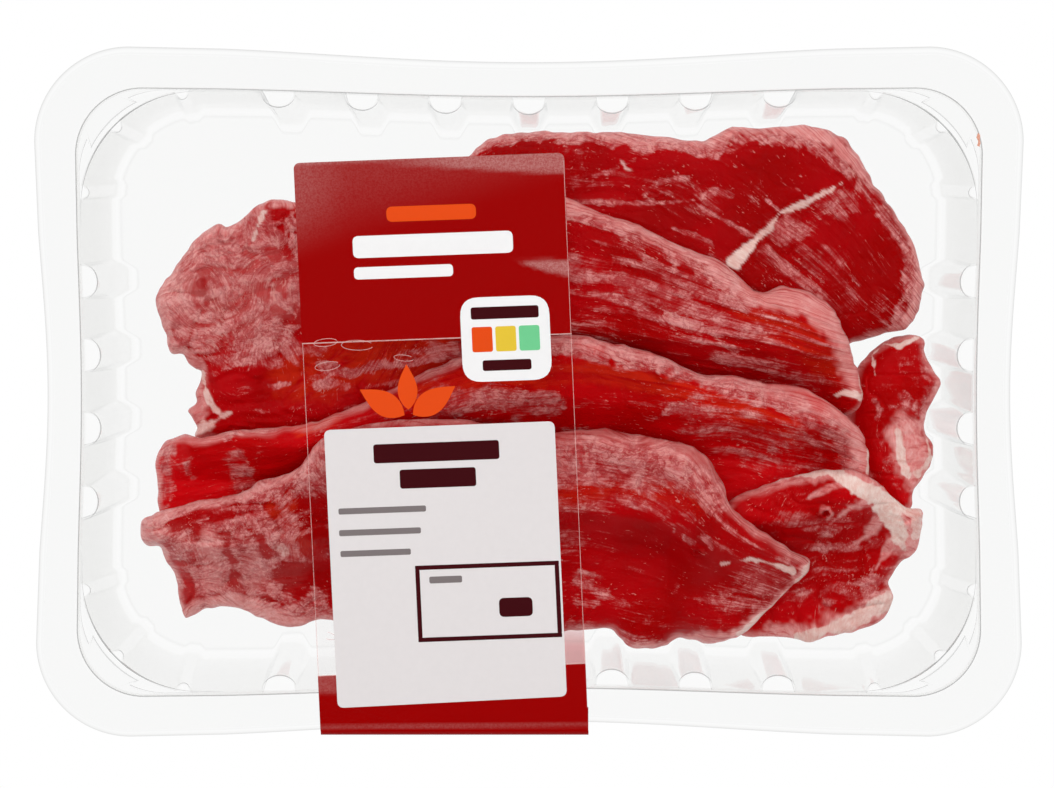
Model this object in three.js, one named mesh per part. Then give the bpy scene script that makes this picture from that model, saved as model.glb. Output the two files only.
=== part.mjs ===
// A sealed pack of raw beef: six pieces of steak in a clear fluted tray, a clear lid film on its
// flange, a printed band over the film and under the front flange, and a white price sticker.
// Millimetres. +X runs along the tray, +Y to its back, +Z up; the tray stands on z = 0.
import * as THREE from "three";

const WALL = 0.6;
const FLUTE_TOP = 40.4;
const FLANGE_TOP = 45;

// Plan outlines: half sizes at the corners, corner radius, and how far each side bows in.
const OUTER = { halfX: 130.1, halfY: 91.0, radius: 25, bowX: 3.3, bowY: 4.1 };
const RIM = { halfX: 118.75, halfY: 79.85, radius: 17.4, bowX: 1.3, bowY: 2.25 };
const WALL_TOP = { halfX: 118.3, halfY: 79.4, radius: 31, bowX: 1.3, bowY: 2.25 };
const BASE = { halfX: 116.1, halfY: 76.75, radius: 26, bowX: 1.3, bowY: 2.25 };

// Flutes stand in from the wall, up to a flat top just under the rim.
const LONG_FLUTES = { count: 7, pitch: 22.05 };
const SHORT_FLUTES = { count: 4, pitch: 19.5 };
const FLUTE_OFFSETS = [-1, -0.78, -0.46, 0.46, 0.78, 1];
const BASE_FLUTE = { half: 5.7, shape: [0, 0.41, 1, 1, 0.41, 0], depth: 4.2, corner: 2.0 };
const TOP_FLUTE = { half: 4.6, shape: [0, 0.63, 0.95, 0.95, 0.63, 0], depth: 4.3, corner: 2.3 };
const CORNER_FLUTES = [8, 45, 82];
const CORNER_PLAIN = [0, 22, 33, 57, 68, 90];
const CORNER_KEPT = [0, 13.5, 22, 33, 45, 57, 68, 76.5, 90];

const FILM = { inset: 2.3, bottom: 45.1, top: 45.3 };
const BAND = { thickness: 0.2, gap: 0.15, tuck: 7 };
const BAND_CORNERS = {
  backLeft: [-61.7, 60.4],
  backRight: [9.2, 63.0],
  frontLeft: [-54.8, -90.3],
  frontRight: [15.7, -90.3],
};
const PANEL_ENDS_Y = 14.2;
const FRONT_PANEL_Y = -72.8;
const PANEL_GAP = 0.1;
const STICKER = {
  corners: [[-53.8, -9.7], [6.7, -7.35], [10.0, -79.8], [-50.3, -82.9]],
  radius: 1.8,
  bottom: 45.8,
  top: 45.95,
};

// Each steak: a closed plan outline, clockwise from its back left corner, the indices of the points
// where its right end, its front edge and its left end begin, and its thickness.
const STEAKS = [
  {
    name: "steak_side",
    thickness: 10,
    turns: [3, 14, 16],
    columns: 10,
    rows: 17,
    outline: [
      [95, 9.1], [99.6, 12.5], [104.9, 13.6], [109.2, 12.6], [109.9, 9.4], [111.9, 4.4],
      [114.2, 0.6], [112.2, -4.2], [109.9, -9.8], [110.3, -13.8], [112.2, -17.6], [111.6, -21.8],
      [109, -26], [106.6, -29.8], [106.6, -33.2], [103, -35.8], [96.3, -31.7], [90.8, -20.7],
      [88.1, -6.9], [90.3, 3.6],
    ],
  },
  {
    name: "steak_back",
    thickness: 13,
    turns: [14, 21, 25],
    columns: 29,
    rows: 13,
    outline: [
      [-35.5, 51.1], [-18.5, 61.5], [-10.7, 68.1], [0.3, 69.9], [11.9, 69.8], [23.7, 69.9],
      [36.4, 68.7], [46.9, 67.3], [51.6, 68.7], [56, 71.4], [62.6, 70.7], [71.1, 71.6],
      [78.6, 71.5], [87.1, 68.1], [91, 63.5], [95.7, 54.9], [100.9, 48.3], [106.4, 38.4],
      [109.2, 29.3], [109.4, 26.3], [104.7, 15.8], [98.6, 14.2], [80.2, 9.5], [47.2, 12],
      [8.6, 17], [-21.7, 22.2], [-36.9, 34.2],
    ],
  },
  {
    name: "steak_second",
    thickness: 12,
    turns: [20, 24, 31],
    columns: 35,
    rows: 13,
    outline: [
      [-98.3, 32.1], [-93.9, 38.4], [-89.5, 42.8], [-86.2, 44.5], [-83.7, 43.6], [-78.7, 46.7],
      [-74.3, 50], [-69.1, 51.3], [-64.7, 50.8], [-46, 56.2], [-26.8, 59.6], [-7.8, 58],
      [10.3, 51.7], [19, 47.9], [29.6, 44.2], [41, 38.7], [52.6, 34.1], [62.4, 26],
      [68.9, 27.4], [77.3, 25.5], [82.4, 21.4], [87.6, 11.1], [90, 3.5], [91.1, -4.6],
      [82.1, -10.5], [62, -10], [47.3, -8.5], [8.6, -2.5], [-30.1, -6.5], [-63.2, -16],
      [-81.4, -15.2], [-92.2, -14.7], [-91.9, -11.6], [-94.4, -6.9], [-92.5, -5.3], [-92.2, -2],
      [-90.6, 3.6], [-93.6, 5.5], [-95.3, 8], [-99.1, 8.8], [-100.5, 14.3], [-102.4, 19.6],
      [-103.3, 24.1],
    ],
  },
  {
    name: "steak_third",
    thickness: 12,
    turns: [18, 21, 27],
    columns: 35,
    rows: 13,
    outline: [
      [-101.1, -16.6], [-94.7, -13.3], [-88.4, -13.8], [-82.1, -12.2], [-72.4, -11.3],
      [-61.4, -10.2], [-45.9, -4.5], [-26.9, 4.8], [-7.8, 11.7], [11.7, 14.7], [22.7, 12.5],
      [35.7, 8.7], [46.3, 3.9], [54.4, 3.3], [63.3, 1.4], [73, 0.4], [79, -2.3], [86, -7.5],
      [91.1, -13.1], [93.2, -20.2], [92, -27], [85.5, -32.5], [72, -35.6], [47.2, -37.5],
      [8.6, -32.5], [-30, -33.9], [-63, -41], [-90.6, -42.6], [-101.3, -37.8], [-103, -31.4],
      [-103, -27], [-103.3, -20.7],
    ],
  },
  {
    name: "steak_under",
    thickness: 11,
    turns: [7, 14, 21],
    columns: 19,
    rows: 13,
    outline: [
      [63.2, -27.3], [71.8, -24.5], [78.4, -22.6], [88.8, -22.6], [94, -25.3], [99.2, -30],
      [103.1, -33.3], [107.8, -33.9], [108.6, -35.8], [108.3, -39.4], [107.2, -46.5],
      [102.5, -50.1], [100, -54.5], [101, -59.7], [97.9, -65.6], [92.6, -67.9],
      [83.6, -70.1], [77, -71.7], [74.2, -70.7], [69.8, -70.2], [63.2, -70.2], [58.6, -69.3],
      [50.4, -64.4], [48.3, -50.6], [50.4, -36.9], [55.3, -30.6],
    ],
  },
  {
    name: "steak_front",
    thickness: 13,
    turns: [21, 25, 45],
    columns: 37,
    rows: 13,
    outline: [
      [-106.5, -37.1], [-103, -34.9], [-93.7, -31.9], [-78.2, -28.7], [-73.3, -25.7],
      [-65.7, -23.2], [-60.8, -20], [-56, -13.3], [-45.5, -9.8], [-26.6, -7.9], [-7.8, -9.8],
      [7.6, -12.2], [18.9, -11.1], [29.4, -12.7], [40.5, -14.6], [46.1, -17], [52.3, -25.4],
      [53.7, -30.5], [56.9, -33.7], [62, -37.5], [73.2, -45.3], [76.7, -47.5], [75.9, -50.4],
      [72.1, -54.2], [66.7, -59.4], [58.3, -67.6], [54.4, -69.5], [49.2, -71], [41.3, -70.1],
      [38.6, -72.2], [33.1, -73.4], [27.4, -72.8], [24.9, -69.8], [22.5, -67.9], [16.2, -68.1],
      [-2.4, -69.1], [-29.9, -67.7], [-54.4, -65.5], [-59.6, -65.5], [-63.4, -67.1],
      [-68.4, -66.8], [-74.1, -64.9], [-79.1, -62.4], [-87.3, -61.7], [-92.6, -63.7],
      [-95, -64.8], [-96.3, -63], [-96.7, -60.5], [-98.6, -50.9], [-100.5, -47.9],
      [-101.3, -44.4], [-104.9, -44.4], [-106.8, -41.6],
    ],
  },
];

const FLOOR = WALL + 0.3;
const LAYER_GAP = 0.5;
const EDGE_SHARE = 0.45;
const TOP_ROUND = 8;
const UNDER_ROUND = 5;
const CELL = 2.5;
const FIELD = { x: 120, y: 80 };
const DRAPE = 2;
const RELAX_TURNS = 300;

const group = new THREE.Group();
group.name = "meat_tray_pack";

function add(name, geometry, color, roughness, opacity = 1) {
  const material = new THREE.MeshStandardMaterial({ color, roughness, metalness: 0 });
  material.transparent = opacity < 1;
  material.opacity = opacity;
  const mesh = new THREE.Mesh(geometry, material);
  mesh.name = name;
  group.add(mesh);
}

// A closed body is collected as points and triangles, then handed over as one indexed geometry.
function body() {
  const points = [];
  const triangles = [];
  return {
    point(x, y, z) {
      points.push(x, y, z);
      return points.length / 3 - 1;
    },
    triangle(a, b, c) {
      triangles.push(a, b, c);
    },
    quad(a, b, c, d) {
      triangles.push(a, b, c, a, c, d);
    },
    geometry() {
      const made = new THREE.BufferGeometry();
      made.setAttribute("position", new THREE.Float32BufferAttribute(points, 3));
      made.setIndex(triangles);
      made.computeVertexNormals();
      return made;
    },
  };
}

// Stations round the tray, anticlockwise from the middle of the right side.
function sideStations(side, flutes, corners) {
  const made = [];
  const middle = (flutes.count - 1) / 2;
  for (let i = 0; i <= flutes.count; i += 1) {
    made.push({ side, along: (i - middle - 0.5) * flutes.pitch, kept: true });
    if (i === flutes.count) break;
    FLUTE_OFFSETS.forEach((offset, index) => {
      made.push({ side, centre: (i - middle) * flutes.pitch, offset, index, kept: false });
    });
  }
  return made.concat(corners);
}

function cornerStations(quadrant) {
  const made = CORNER_PLAIN.map((angle) => ({ quadrant, angle, dent: 0 }));
  for (const centre of CORNER_FLUTES) {
    for (const step of [-5.5, 5.5]) made.push({ quadrant, angle: centre + step, dent: 0 });
    for (const step of [-2.5, 2.5]) made.push({ quadrant, angle: centre + step, dent: 1 });
  }
  made.push({ quadrant, angle: 45, dent: 1 });
  made.sort((a, b) => a.angle - b.angle);
  for (const station of made) station.kept = CORNER_KEPT.includes(station.angle);
  return made;
}

const STATIONS = [
  ...sideStations("right", SHORT_FLUTES, cornerStations(0)),
  ...sideStations("back", LONG_FLUTES, cornerStations(1)),
  ...sideStations("left", SHORT_FLUTES, cornerStations(2)),
  ...sideStations("front", LONG_FLUTES, cornerStations(3)),
];
const QUARTER = { right: 0, back: 1, left: 2, front: 3 };

function bow(depth, along, half) {
  return depth * 0.5 * (1 + Math.cos((Math.PI * Math.min(Math.abs(along), half)) / half));
}

// A station's place on an outline, with the flutes standing in by the given profile if there is one.
function place(station, outline, flute) {
  if (station.side) {
    const upright = station.side === "right" || station.side === "left";
    const reach = upright ? outline.halfX : outline.halfY;
    const run = (upright ? outline.halfY : outline.halfX) - outline.radius;
    const depth = upright ? outline.bowX : outline.bowY;
    let along = station.along;
    let stand = 0;
    if (station.offset !== undefined) {
      along = station.centre + station.offset * (flute ? flute.half : TOP_FLUTE.half);
      stand = flute ? flute.shape[station.index] * flute.depth : 0;
    }
    const out = reach - bow(depth, along, run) - stand;
    return turn(out, along, QUARTER[station.side]);
  }
  const odd = station.quadrant % 2;
  const cx = (odd ? outline.halfY : outline.halfX) - outline.radius;
  const cy = (odd ? outline.halfX : outline.halfY) - outline.radius;
  const radius = outline.radius - (flute ? station.dent * flute.corner : 0);
  const angle = THREE.MathUtils.degToRad(station.angle);
  return turn(cx + radius * Math.cos(angle), cy + radius * Math.sin(angle), station.quadrant);
}

function turn(x, y, quarters) {
  if (quarters === 0) return [x, y];
  if (quarters === 1) return [-y, x];
  if (quarters === 2) return [-x, -y];
  return [y, -x];
}

function ring(outline, flute, keptOnly) {
  const stations = keptOnly ? STATIONS.filter((station) => station.kept) : STATIONS;
  return stations.map((station) => place(station, outline, flute));
}

// Moves a closed anticlockwise ring outwards, each point along the mean of its two edge normals.
function offsetRing(points, distance) {
  const count = points.length;
  return points.map(([x, y], i) => {
    const [ax, ay] = points[(i + count - 1) % count];
    const [bx, by] = points[(i + 1) % count];
    const first = Math.hypot(x - ax, y - ay);
    const second = Math.hypot(bx - x, by - y);
    const nx = (y - ay) / first + (by - y) / second;
    const ny = -(x - ax) / first - (bx - x) / second;
    const reach = distance / Math.max(0.6, (nx * nx + ny * ny) / 2);
    return [x + nx * reach, y + ny * reach];
  });
}

function lay(made, points, z) {
  return points.map(([x, y]) => made.point(x, y, z));
}

// Faces between two rings of anticlockwise points; they face out when the second is the upper one.
function strip(made, from, to) {
  const count = from.length;
  for (let i = 0; i < count; i += 1) {
    const j = (i + 1) % count;
    made.quad(from[i], from[j], to[j], to[i]);
  }
}

// Joins a full ring to one that only has its kept stations.
function zip(made, full, kept, keptFirst) {
  const places = STATIONS.map((station, i) => (station.kept ? i : -1)).filter((i) => i >= 0);
  const put = (a, b, c) => (keptFirst ? made.triangle(a, b, c) : made.triangle(a, c, b));
  for (let k = 0; k < places.length; k += 1) {
    const next = (k + 1) % places.length;
    let i = places[k];
    while (i !== places[next]) {
      const j = (i + 1) % full.length;
      put(full[i], full[j], kept[k]);
      i = j;
    }
    put(kept[k], full[places[next]], kept[next]);
  }
}

function cap(made, indices, points, up) {
  const contour = points.map(([x, y]) => new THREE.Vector2(x, y));
  for (const [a, b, c] of THREE.ShapeUtils.triangulateShape(contour, [])) {
    if (up) made.triangle(indices[a], indices[b], indices[c]);
    else made.triangle(indices[a], indices[c], indices[b]);
  }
}

function tray() {
  const made = body();
  const foot = offsetRing(ring(BASE, BASE_FLUTE, false), -1.5);
  const wallLow = ring(BASE, BASE_FLUTE, false);
  const wallHigh = ring(WALL_TOP, TOP_FLUTE, false);
  const ledge = offsetRing(ring(RIM, null, false), -0.2);
  const rim = ring(RIM, null, true);
  const outer = ring(OUTER, null, true);
  const inside = [lay(made, foot, WALL), lay(made, wallLow, 2.2), lay(made, wallHigh, FLUTE_TOP)];
  inside.push(lay(made, ledge, FLUTE_TOP + 0.4));
  const above = [
    lay(made, rim, FLANGE_TOP - 0.8),
    lay(made, offsetRing(rim, 0.8), FLANGE_TOP),
    lay(made, offsetRing(outer, -1.9), FLANGE_TOP),
    lay(made, offsetRing(outer, -0.4), FLANGE_TOP - 0.7),
    lay(made, outer, FLANGE_TOP - 2.1),
    lay(made, offsetRing(outer, -WALL), FLANGE_TOP - 2.1),
    lay(made, offsetRing(outer, -1.1), FLANGE_TOP - 1.2),
    lay(made, offsetRing(outer, -2.3), FLANGE_TOP - WALL),
    lay(made, offsetRing(rim, 1.6), FLANGE_TOP - WALL),
    lay(made, offsetRing(rim, WALL), FLANGE_TOP - 1.3),
  ];
  const outside = [
    lay(made, offsetRing(ledge, WALL), FLUTE_TOP - 0.2),
    lay(made, offsetRing(wallHigh, WALL), FLUTE_TOP - WALL),
    lay(made, offsetRing(wallLow, WALL), 1.9),
    lay(made, offsetRing(foot, WALL), 0),
  ];
  for (let i = inside.length - 1; i > 0; i -= 1) strip(made, inside[i], inside[i - 1]);
  zip(made, inside[3], above[0], false);
  for (let i = above.length - 1; i > 0; i -= 1) strip(made, above[i], above[i - 1]);
  zip(made, outside[0], above[9], true);
  for (let i = outside.length - 1; i > 0; i -= 1) strip(made, outside[i], outside[i - 1]);
  cap(made, inside[0], foot, true);
  cap(made, outside[3], offsetRing(foot, WALL), false);
  return made.geometry();
}

// A flat plate with an anticlockwise outline.
function plate(points, bottom, top) {
  const made = body();
  const low = lay(made, points, bottom);
  const high = lay(made, points, top);
  strip(made, low, high);
  cap(made, low, points, false);
  cap(made, high, points, true);
  return made.geometry();
}

function roundedPlate(corners, radius, bottom, top) {
  const points = [];
  corners.forEach(([x, y], i) => {
    const before = corners[(i + corners.length - 1) % corners.length];
    const after = corners[(i + 1) % corners.length];
    const inward = new THREE.Vector2(before[0] - x, before[1] - y).setLength(radius);
    const onward = new THREE.Vector2(after[0] - x, after[1] - y).setLength(radius);
    for (const share of [0, 0.35, 0.65, 1]) {
      const a = (1 - share) ** 2;
      const b = share ** 2;
      points.push([x + inward.x * a + onward.x * b, y + inward.y * a + onward.y * b]);
    }
  });
  return plate(points.reverse(), bottom, top);
}

// The band's two long edges, by y.
function bandEdges(y) {
  const { backLeft, backRight, frontLeft, frontRight } = BAND_CORNERS;
  const left = (y - frontLeft[1]) / (backLeft[1] - frontLeft[1]);
  const right = (y - frontRight[1]) / (backRight[1] - frontRight[1]);
  return [
    frontLeft[0] + (backLeft[0] - frontLeft[0]) * left,
    frontRight[0] + (backRight[0] - frontRight[0]) * right,
  ];
}

function backPanel() {
  const low = FILM.top + BAND.gap;
  const { backLeft, backRight } = BAND_CORNERS;
  const [left, right] = bandEdges(PANEL_ENDS_Y);
  const points = [
    [left, PANEL_ENDS_Y - 1.2],
    [right, PANEL_ENDS_Y + 1.4],
    [backRight[0], backRight[1] - 1],
    [backRight[0] - 1, backRight[1]],
    [backLeft[0] + 1, backLeft[1]],
    [backLeft[0], backLeft[1] - 1],
  ];
  return plate(points, low, low + BAND.thickness);
}

function windowPanel() {
  const low = FILM.top + BAND.gap;
  const [left, right] = bandEdges(PANEL_ENDS_Y);
  const [frontLeft, frontRight] = bandEdges(FRONT_PANEL_Y);
  const points = [
    [frontLeft, FRONT_PANEL_Y - 1.7 + PANEL_GAP],
    [frontRight, FRONT_PANEL_Y + 1.7 + PANEL_GAP],
    [right, PANEL_ENDS_Y + 1.4 - PANEL_GAP],
    [left, PANEL_ENDS_Y - 1.2 - PANEL_GAP],
  ];
  return plate(points, low, low + BAND.thickness);
}

// The front panel runs over the flange's edge, down past the lip and back under it.
function frontPanel() {
  const t = BAND.thickness;
  const low = FILM.top + BAND.gap;
  const edge = BAND_CORNERS.frontLeft[1];
  const under = FLANGE_TOP - 2.5;
  const back = FRONT_PANEL_Y;
  const made = body();
  const path = [
    { y: [back, back], z: [low, low + t], skew: 1.7 },
    { y: [edge + 1.2, edge + 1.2], z: [low, low + t], skew: 0 },
    { y: [edge + 0.5, edge + 0.3], z: [low - 0.25, low + t - 0.1], skew: 0 },
    { y: [edge + t, edge], z: [low - 0.9, low - 0.7], skew: 0 },
    { y: [edge + t, edge], z: [under + 0.3, under + 0.1], skew: 0 },
    { y: [edge + t + 0.4, edge + 0.4], z: [under, under - t], skew: 0 },
    { y: [edge + BAND.tuck, edge + BAND.tuck], z: [under, under - t], skew: 0 },
  ];
  const sections = path.map(({ y, z, skew }) => {
    const [left, right] = bandEdges(y[0]);
    return [
      made.point(left, y[0] - skew, z[0]),
      made.point(right, y[0] + skew, z[0]),
      made.point(right, y[1] + skew, z[1]),
      made.point(left, y[1] - skew, z[1]),
    ];
  });
  for (let i = 0; i + 1 < sections.length; i += 1) {
    const [a, b, c, d] = sections[i];
    const [e, f, g, h] = sections[i + 1];
    made.quad(a, b, f, e);
    made.quad(b, c, g, f);
    made.quad(c, d, h, g);
    made.quad(d, a, e, h);
  }
  const first = sections[0];
  const last = sections[sections.length - 1];
  made.quad(first[0], first[3], first[2], first[1]);
  made.quad(last[0], last[1], last[2], last[3]);
  return made.geometry();
}

// A smooth closed curve through an outline's points.
function outlineCurve(outline) {
  const points = outline.map(([x, y]) => new THREE.Vector3(x, y, 0));
  return new THREE.CatmullRomCurve3(points, true, "centripetal");
}

function sideOf(curve, count, from, to, shares) {
  return shares.map((share) => {
    const t = (from + (to - from) * share) / count;
    const point = curve.getPoint(((t % 1) + 1) % 1);
    return [point.x, point.y];
  });
}

// Shares from 0 to 1 that crowd towards both ends, so that the rounded edge has rows of its own.
function crowded(count, near) {
  const shares = [0, near, near * 3];
  const inner = count - 6;
  const start = near * 6;
  for (let i = 0; i < inner; i += 1) shares.push(start + ((1 - 2 * start) * i) / (inner - 1));
  shares.push(1 - near * 3, 1 - near, 1);
  return shares;
}

function even(list, shares) {
  const lengths = [0];
  for (let i = 1; i < list.length; i += 1) {
    const step = Math.hypot(list[i][0] - list[i - 1][0], list[i][1] - list[i - 1][1]);
    lengths.push(lengths[i - 1] + step);
  }
  const total = lengths[lengths.length - 1];
  return shares.map((share) => {
    const wanted = share * total;
    let i = 1;
    while (i < lengths.length - 1 && lengths[i] < wanted) i += 1;
    const part = (wanted - lengths[i - 1]) / (lengths[i] - lengths[i - 1]);
    return [0, 1].map((k) => list[i - 1][k] + (list[i][k] - list[i - 1][k]) * part);
  });
}

const FINE = Array.from({ length: 121 }, (_, i) => i / 120);

// Plan points of a steak, row by row from its back edge to its front edge: first blended from the
// four sides, then relaxed so that a ragged edge fades out inwards and no face folds over.
function planGrid(steak) {
  const { outline, turns, columns, rows } = steak;
  const count = outline.length;
  const curve = outlineCurve(outline);
  const along = crowded(columns, 0.012);
  const across = crowded(rows, 0.035);
  const [rightAt, frontAt, leftAt] = turns;
  const back = even(sideOf(curve, count, 0, rightAt, FINE), along);
  const right = even(sideOf(curve, count, rightAt, frontAt, FINE), across);
  const front = even(sideOf(curve, count, leftAt, frontAt, FINE), along);
  const left = even(sideOf(curve, count, count, leftAt, FINE), across);
  const grid = across.map((v, j) =>
    along.map((u, i) =>
      [0, 1].map((k) => {
        const sides = (1 - v) * back[i][k] + v * front[i][k] + (1 - u) * left[j][k] + u * right[j][k];
        const flat = (1 - u) * (1 - v) * back[0][k] + u * (1 - v) * right[0][k];
        const low = (1 - u) * v * front[0][k] + u * v * front[along.length - 1][k];
        return sides - flat - low;
      }),
    ),
  );
  const spanX = Math.max(...outline.map((p) => p[0])) - Math.min(...outline.map((p) => p[0]));
  const spanY = Math.max(...outline.map((p) => p[1])) - Math.min(...outline.map((p) => p[1]));
  const aspect = (spanY / spanX) ** 2;
  for (let pass = 0; pass < RELAX_TURNS; pass += 1) relax(grid, along, across, aspect);
  return grid;
}

// One pass towards a grid on which each coordinate is harmonic over the shares along and across.
function relax(grid, along, across, aspect) {
  for (let j = 1; j + 1 < across.length; j += 1) {
    for (let i = 1; i + 1 < along.length; i += 1) {
      const before = 1 / (along[i] - along[i - 1]);
      const after = 1 / (along[i + 1] - along[i]);
      const behind = 1 / (across[j] - across[j - 1]);
      const ahead = 1 / (across[j + 1] - across[j]);
      const wide = (aspect * 2) / (along[i + 1] - along[i - 1]);
      const deep = 2 / (across[j + 1] - across[j - 1]);
      for (const k of [0, 1]) {
        const sum =
          wide * (before * grid[j][i - 1][k] + after * grid[j][i + 1][k]) +
          deep * (behind * grid[j - 1][i][k] + ahead * grid[j + 1][i][k]);
        grid[j][i][k] = sum / (wide * (before + after) + deep * (behind + ahead));
      }
    }
  }
}

function edgeDistance(points, x, y) {
  let best = Infinity;
  for (let i = 0; i < points.length; i += 1) {
    const [ax, ay] = points[i];
    const [bx, by] = points[(i + 1) % points.length];
    const dx = bx - ax;
    const dy = by - ay;
    const share = ((x - ax) * dx + (y - ay) * dy) / (dx * dx + dy * dy);
    const held = Math.min(1, Math.max(0, share));
    best = Math.min(best, Math.hypot(x - ax - dx * held, y - ay - dy * held));
  }
  return best;
}

function within(points, x, y) {
  let found = false;
  for (let i = 0, j = points.length - 1; i < points.length; j = i, i += 1) {
    const [ax, ay] = points[i];
    const [bx, by] = points[j];
    if (ay > y !== by > y && x < ((bx - ax) * (y - ay)) / (by - ay) + ax) found = !found;
  }
  return found;
}

// The pile's height over the tray floor, on a square grid.
const NX = Math.round((2 * FIELD.x) / CELL) + 1;
const NY = Math.round((2 * FIELD.y) / CELL) + 1;
const cellX = (i) => -FIELD.x + i * CELL;
const cellY = (j) => -FIELD.y + j * CELL;

function spread(field, combine) {
  const made = new Float64Array(field.length);
  for (let j = 0; j < NY; j += 1) {
    for (let i = 0; i < NX; i += 1) {
      const near = [];
      for (let b = Math.max(0, j - DRAPE); b <= Math.min(NY - 1, j + DRAPE); b += 1) {
        for (let a = Math.max(0, i - DRAPE); a <= Math.min(NX - 1, i + DRAPE); a += 1) {
          near.push(field[b * NX + a]);
        }
      }
      made[j * NX + i] = combine(near);
    }
  }
  return made;
}

const highest = (list) => Math.max(...list);
const mean = (list) => list.reduce((sum, value) => sum + value, 0) / list.length;

function heightAt(field, x, y) {
  const gx = (x + FIELD.x) / CELL;
  const gy = (y + FIELD.y) / CELL;
  const i = Math.floor(gx);
  const j = Math.floor(gy);
  const a = gx - i;
  const b = gy - j;
  const at = j * NX + i;
  const low = field[at] * (1 - a) + field[at + 1] * a;
  const high = field[at + NX] * (1 - a) + field[at + NX + 1] * a;
  return low * (1 - b) + high * b;
}

function rounding(distance, radius) {
  const left = 1 - Math.min(distance / radius, 1);
  return Math.sqrt(1 - left * left);
}

function underside(steak, bed, distance, x, y) {
  const lift = EDGE_SHARE * steak.thickness * (1 - rounding(distance, UNDER_ROUND));
  return heightAt(bed, x, y) + lift;
}

function topside(steak, bed, distance, x, y) {
  const share = EDGE_SHARE + (1 - EDGE_SHARE) * rounding(distance, TOP_ROUND);
  return heightAt(bed, x, y) + share * steak.thickness;
}

function slab(steak, bed, edge) {
  const made = body();
  const grid = planGrid(steak);
  const last = { row: grid.length - 1, column: grid[0].length - 1 };
  const border = (j, i) => j === 0 || i === 0 || j === last.row || i === last.column;
  const top = grid.map((row, j) =>
    row.map(([x, y], i) => {
      const distance = border(j, i) ? 0 : edgeDistance(edge, x, y);
      return made.point(x, y, topside(steak, bed, distance, x, y));
    }),
  );
  const under = grid.map((row, j) =>
    row.map(([x, y], i) => {
      if (border(j, i)) return top[j][i];
      return made.point(x, y, underside(steak, bed, edgeDistance(edge, x, y), x, y));
    }),
  );
  for (let j = 0; j < last.row; j += 1) {
    for (let i = 0; i < last.column; i += 1) {
      made.quad(top[j][i], top[j + 1][i], top[j + 1][i + 1], top[j][i + 1]);
      made.quad(under[j][i], under[j][i + 1], under[j + 1][i + 1], under[j + 1][i]);
    }
  }
  return made.geometry();
}

// Lays the steaks one after the other, each draped over the ones below it.
function layPile() {
  let pile = new Float64Array(NX * NY).fill(FLOOR - LAYER_GAP);
  for (const steak of STEAKS) {
    const edge = outlineCurve(steak.outline).getPoints(160).slice(0, -1).map((p) => [p.x, p.y]);
    const inside = new Uint8Array(NX * NY);
    const masked = pile.slice();
    for (let j = 0; j < NY; j += 1) {
      for (let i = 0; i < NX; i += 1) {
        const at = j * NX + i;
        inside[at] = within(edge, cellX(i), cellY(j)) ? 1 : 0;
        if (!inside[at]) masked[at] = FLOOR - LAYER_GAP;
      }
    }
    const bed = spread(spread(masked, highest), mean).map((height) => height + LAYER_GAP);
    add(steak.name, slab(steak, bed, edge), 0xa80c16, 0.35);
    for (let j = 0; j < NY; j += 1) {
      for (let i = 0; i < NX; i += 1) {
        const at = j * NX + i;
        if (!inside[at]) continue;
        const distance = edgeDistance(edge, cellX(i), cellY(j));
        pile[at] = Math.max(pile[at], topside(steak, bed, distance, cellX(i), cellY(j)));
      }
    }
  }
}

add("tray", tray(), 0xe8eaec, 0.08, 0.35);
layPile();
const filmOutline = offsetRing(ring(OUTER, null, true), -FILM.inset);
add("lid_film", plate(filmOutline, FILM.bottom, FILM.top), 0xf4f6f8, 0.05, 0.15);
add("band_back_panel", backPanel(), 0x97000a, 0.3);
add("band_window", windowPanel(), 0xf4f6f8, 0.1, 0.2);
add("band_front_panel", frontPanel(), 0x97000a, 0.3);
const sticker = roundedPlate(STICKER.corners, STICKER.radius, STICKER.bottom, STICKER.top);
add("price_sticker", sticker, 0xe2dedf, 0.5);

export default group;
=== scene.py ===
"""A sealed tray of raw beef steaks from above: clear fluted tray, lid film, printed band and sticker."""
import math
import bpy
import numpy as np
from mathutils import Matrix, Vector


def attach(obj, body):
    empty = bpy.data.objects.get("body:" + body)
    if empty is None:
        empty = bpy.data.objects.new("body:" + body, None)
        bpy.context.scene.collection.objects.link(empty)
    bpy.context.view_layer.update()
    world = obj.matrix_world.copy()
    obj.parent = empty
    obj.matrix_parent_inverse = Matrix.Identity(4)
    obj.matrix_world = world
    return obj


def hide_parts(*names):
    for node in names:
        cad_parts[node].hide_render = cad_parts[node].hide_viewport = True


MM = 0.001

# The photograph's camera, in millimetres and pixels of its 1054 x 788 frame.
IMAGE_W, IMAGE_H = 1054, 788
CAMERA_X, CAMERA_Y, CAMERA_Z = -0.5, 42.8, 745.0
CAMERA_TILT = math.radians(1.2)
FOCAL_PX = 2667.7
PRINCIPAL = (527.0, 230.0 + FOCAL_PX * math.tan(CAMERA_TILT))
SENSOR = 36.0

# The tray: the named sizes of the CAD part, in millimetres.
WALL = 0.45
FOOT = 3.0
FLUTE_TOP = 40.4
FLANGE_TOP = 45.0
OUTER = dict(half_x=130.1, half_y=91.0, radius=25.0, bow_x=3.3, bow_y=4.1)
RIM = dict(half_x=118.75, half_y=79.85, radius=17.4, bow_x=1.3, bow_y=2.25)
WALL_TOP = dict(half_x=118.3, half_y=79.4, radius=31.0, bow_x=1.3, bow_y=2.25)
BASE = dict(half_x=116.1, half_y=76.75, radius=26.0, bow_x=1.3, bow_y=2.25)
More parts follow.
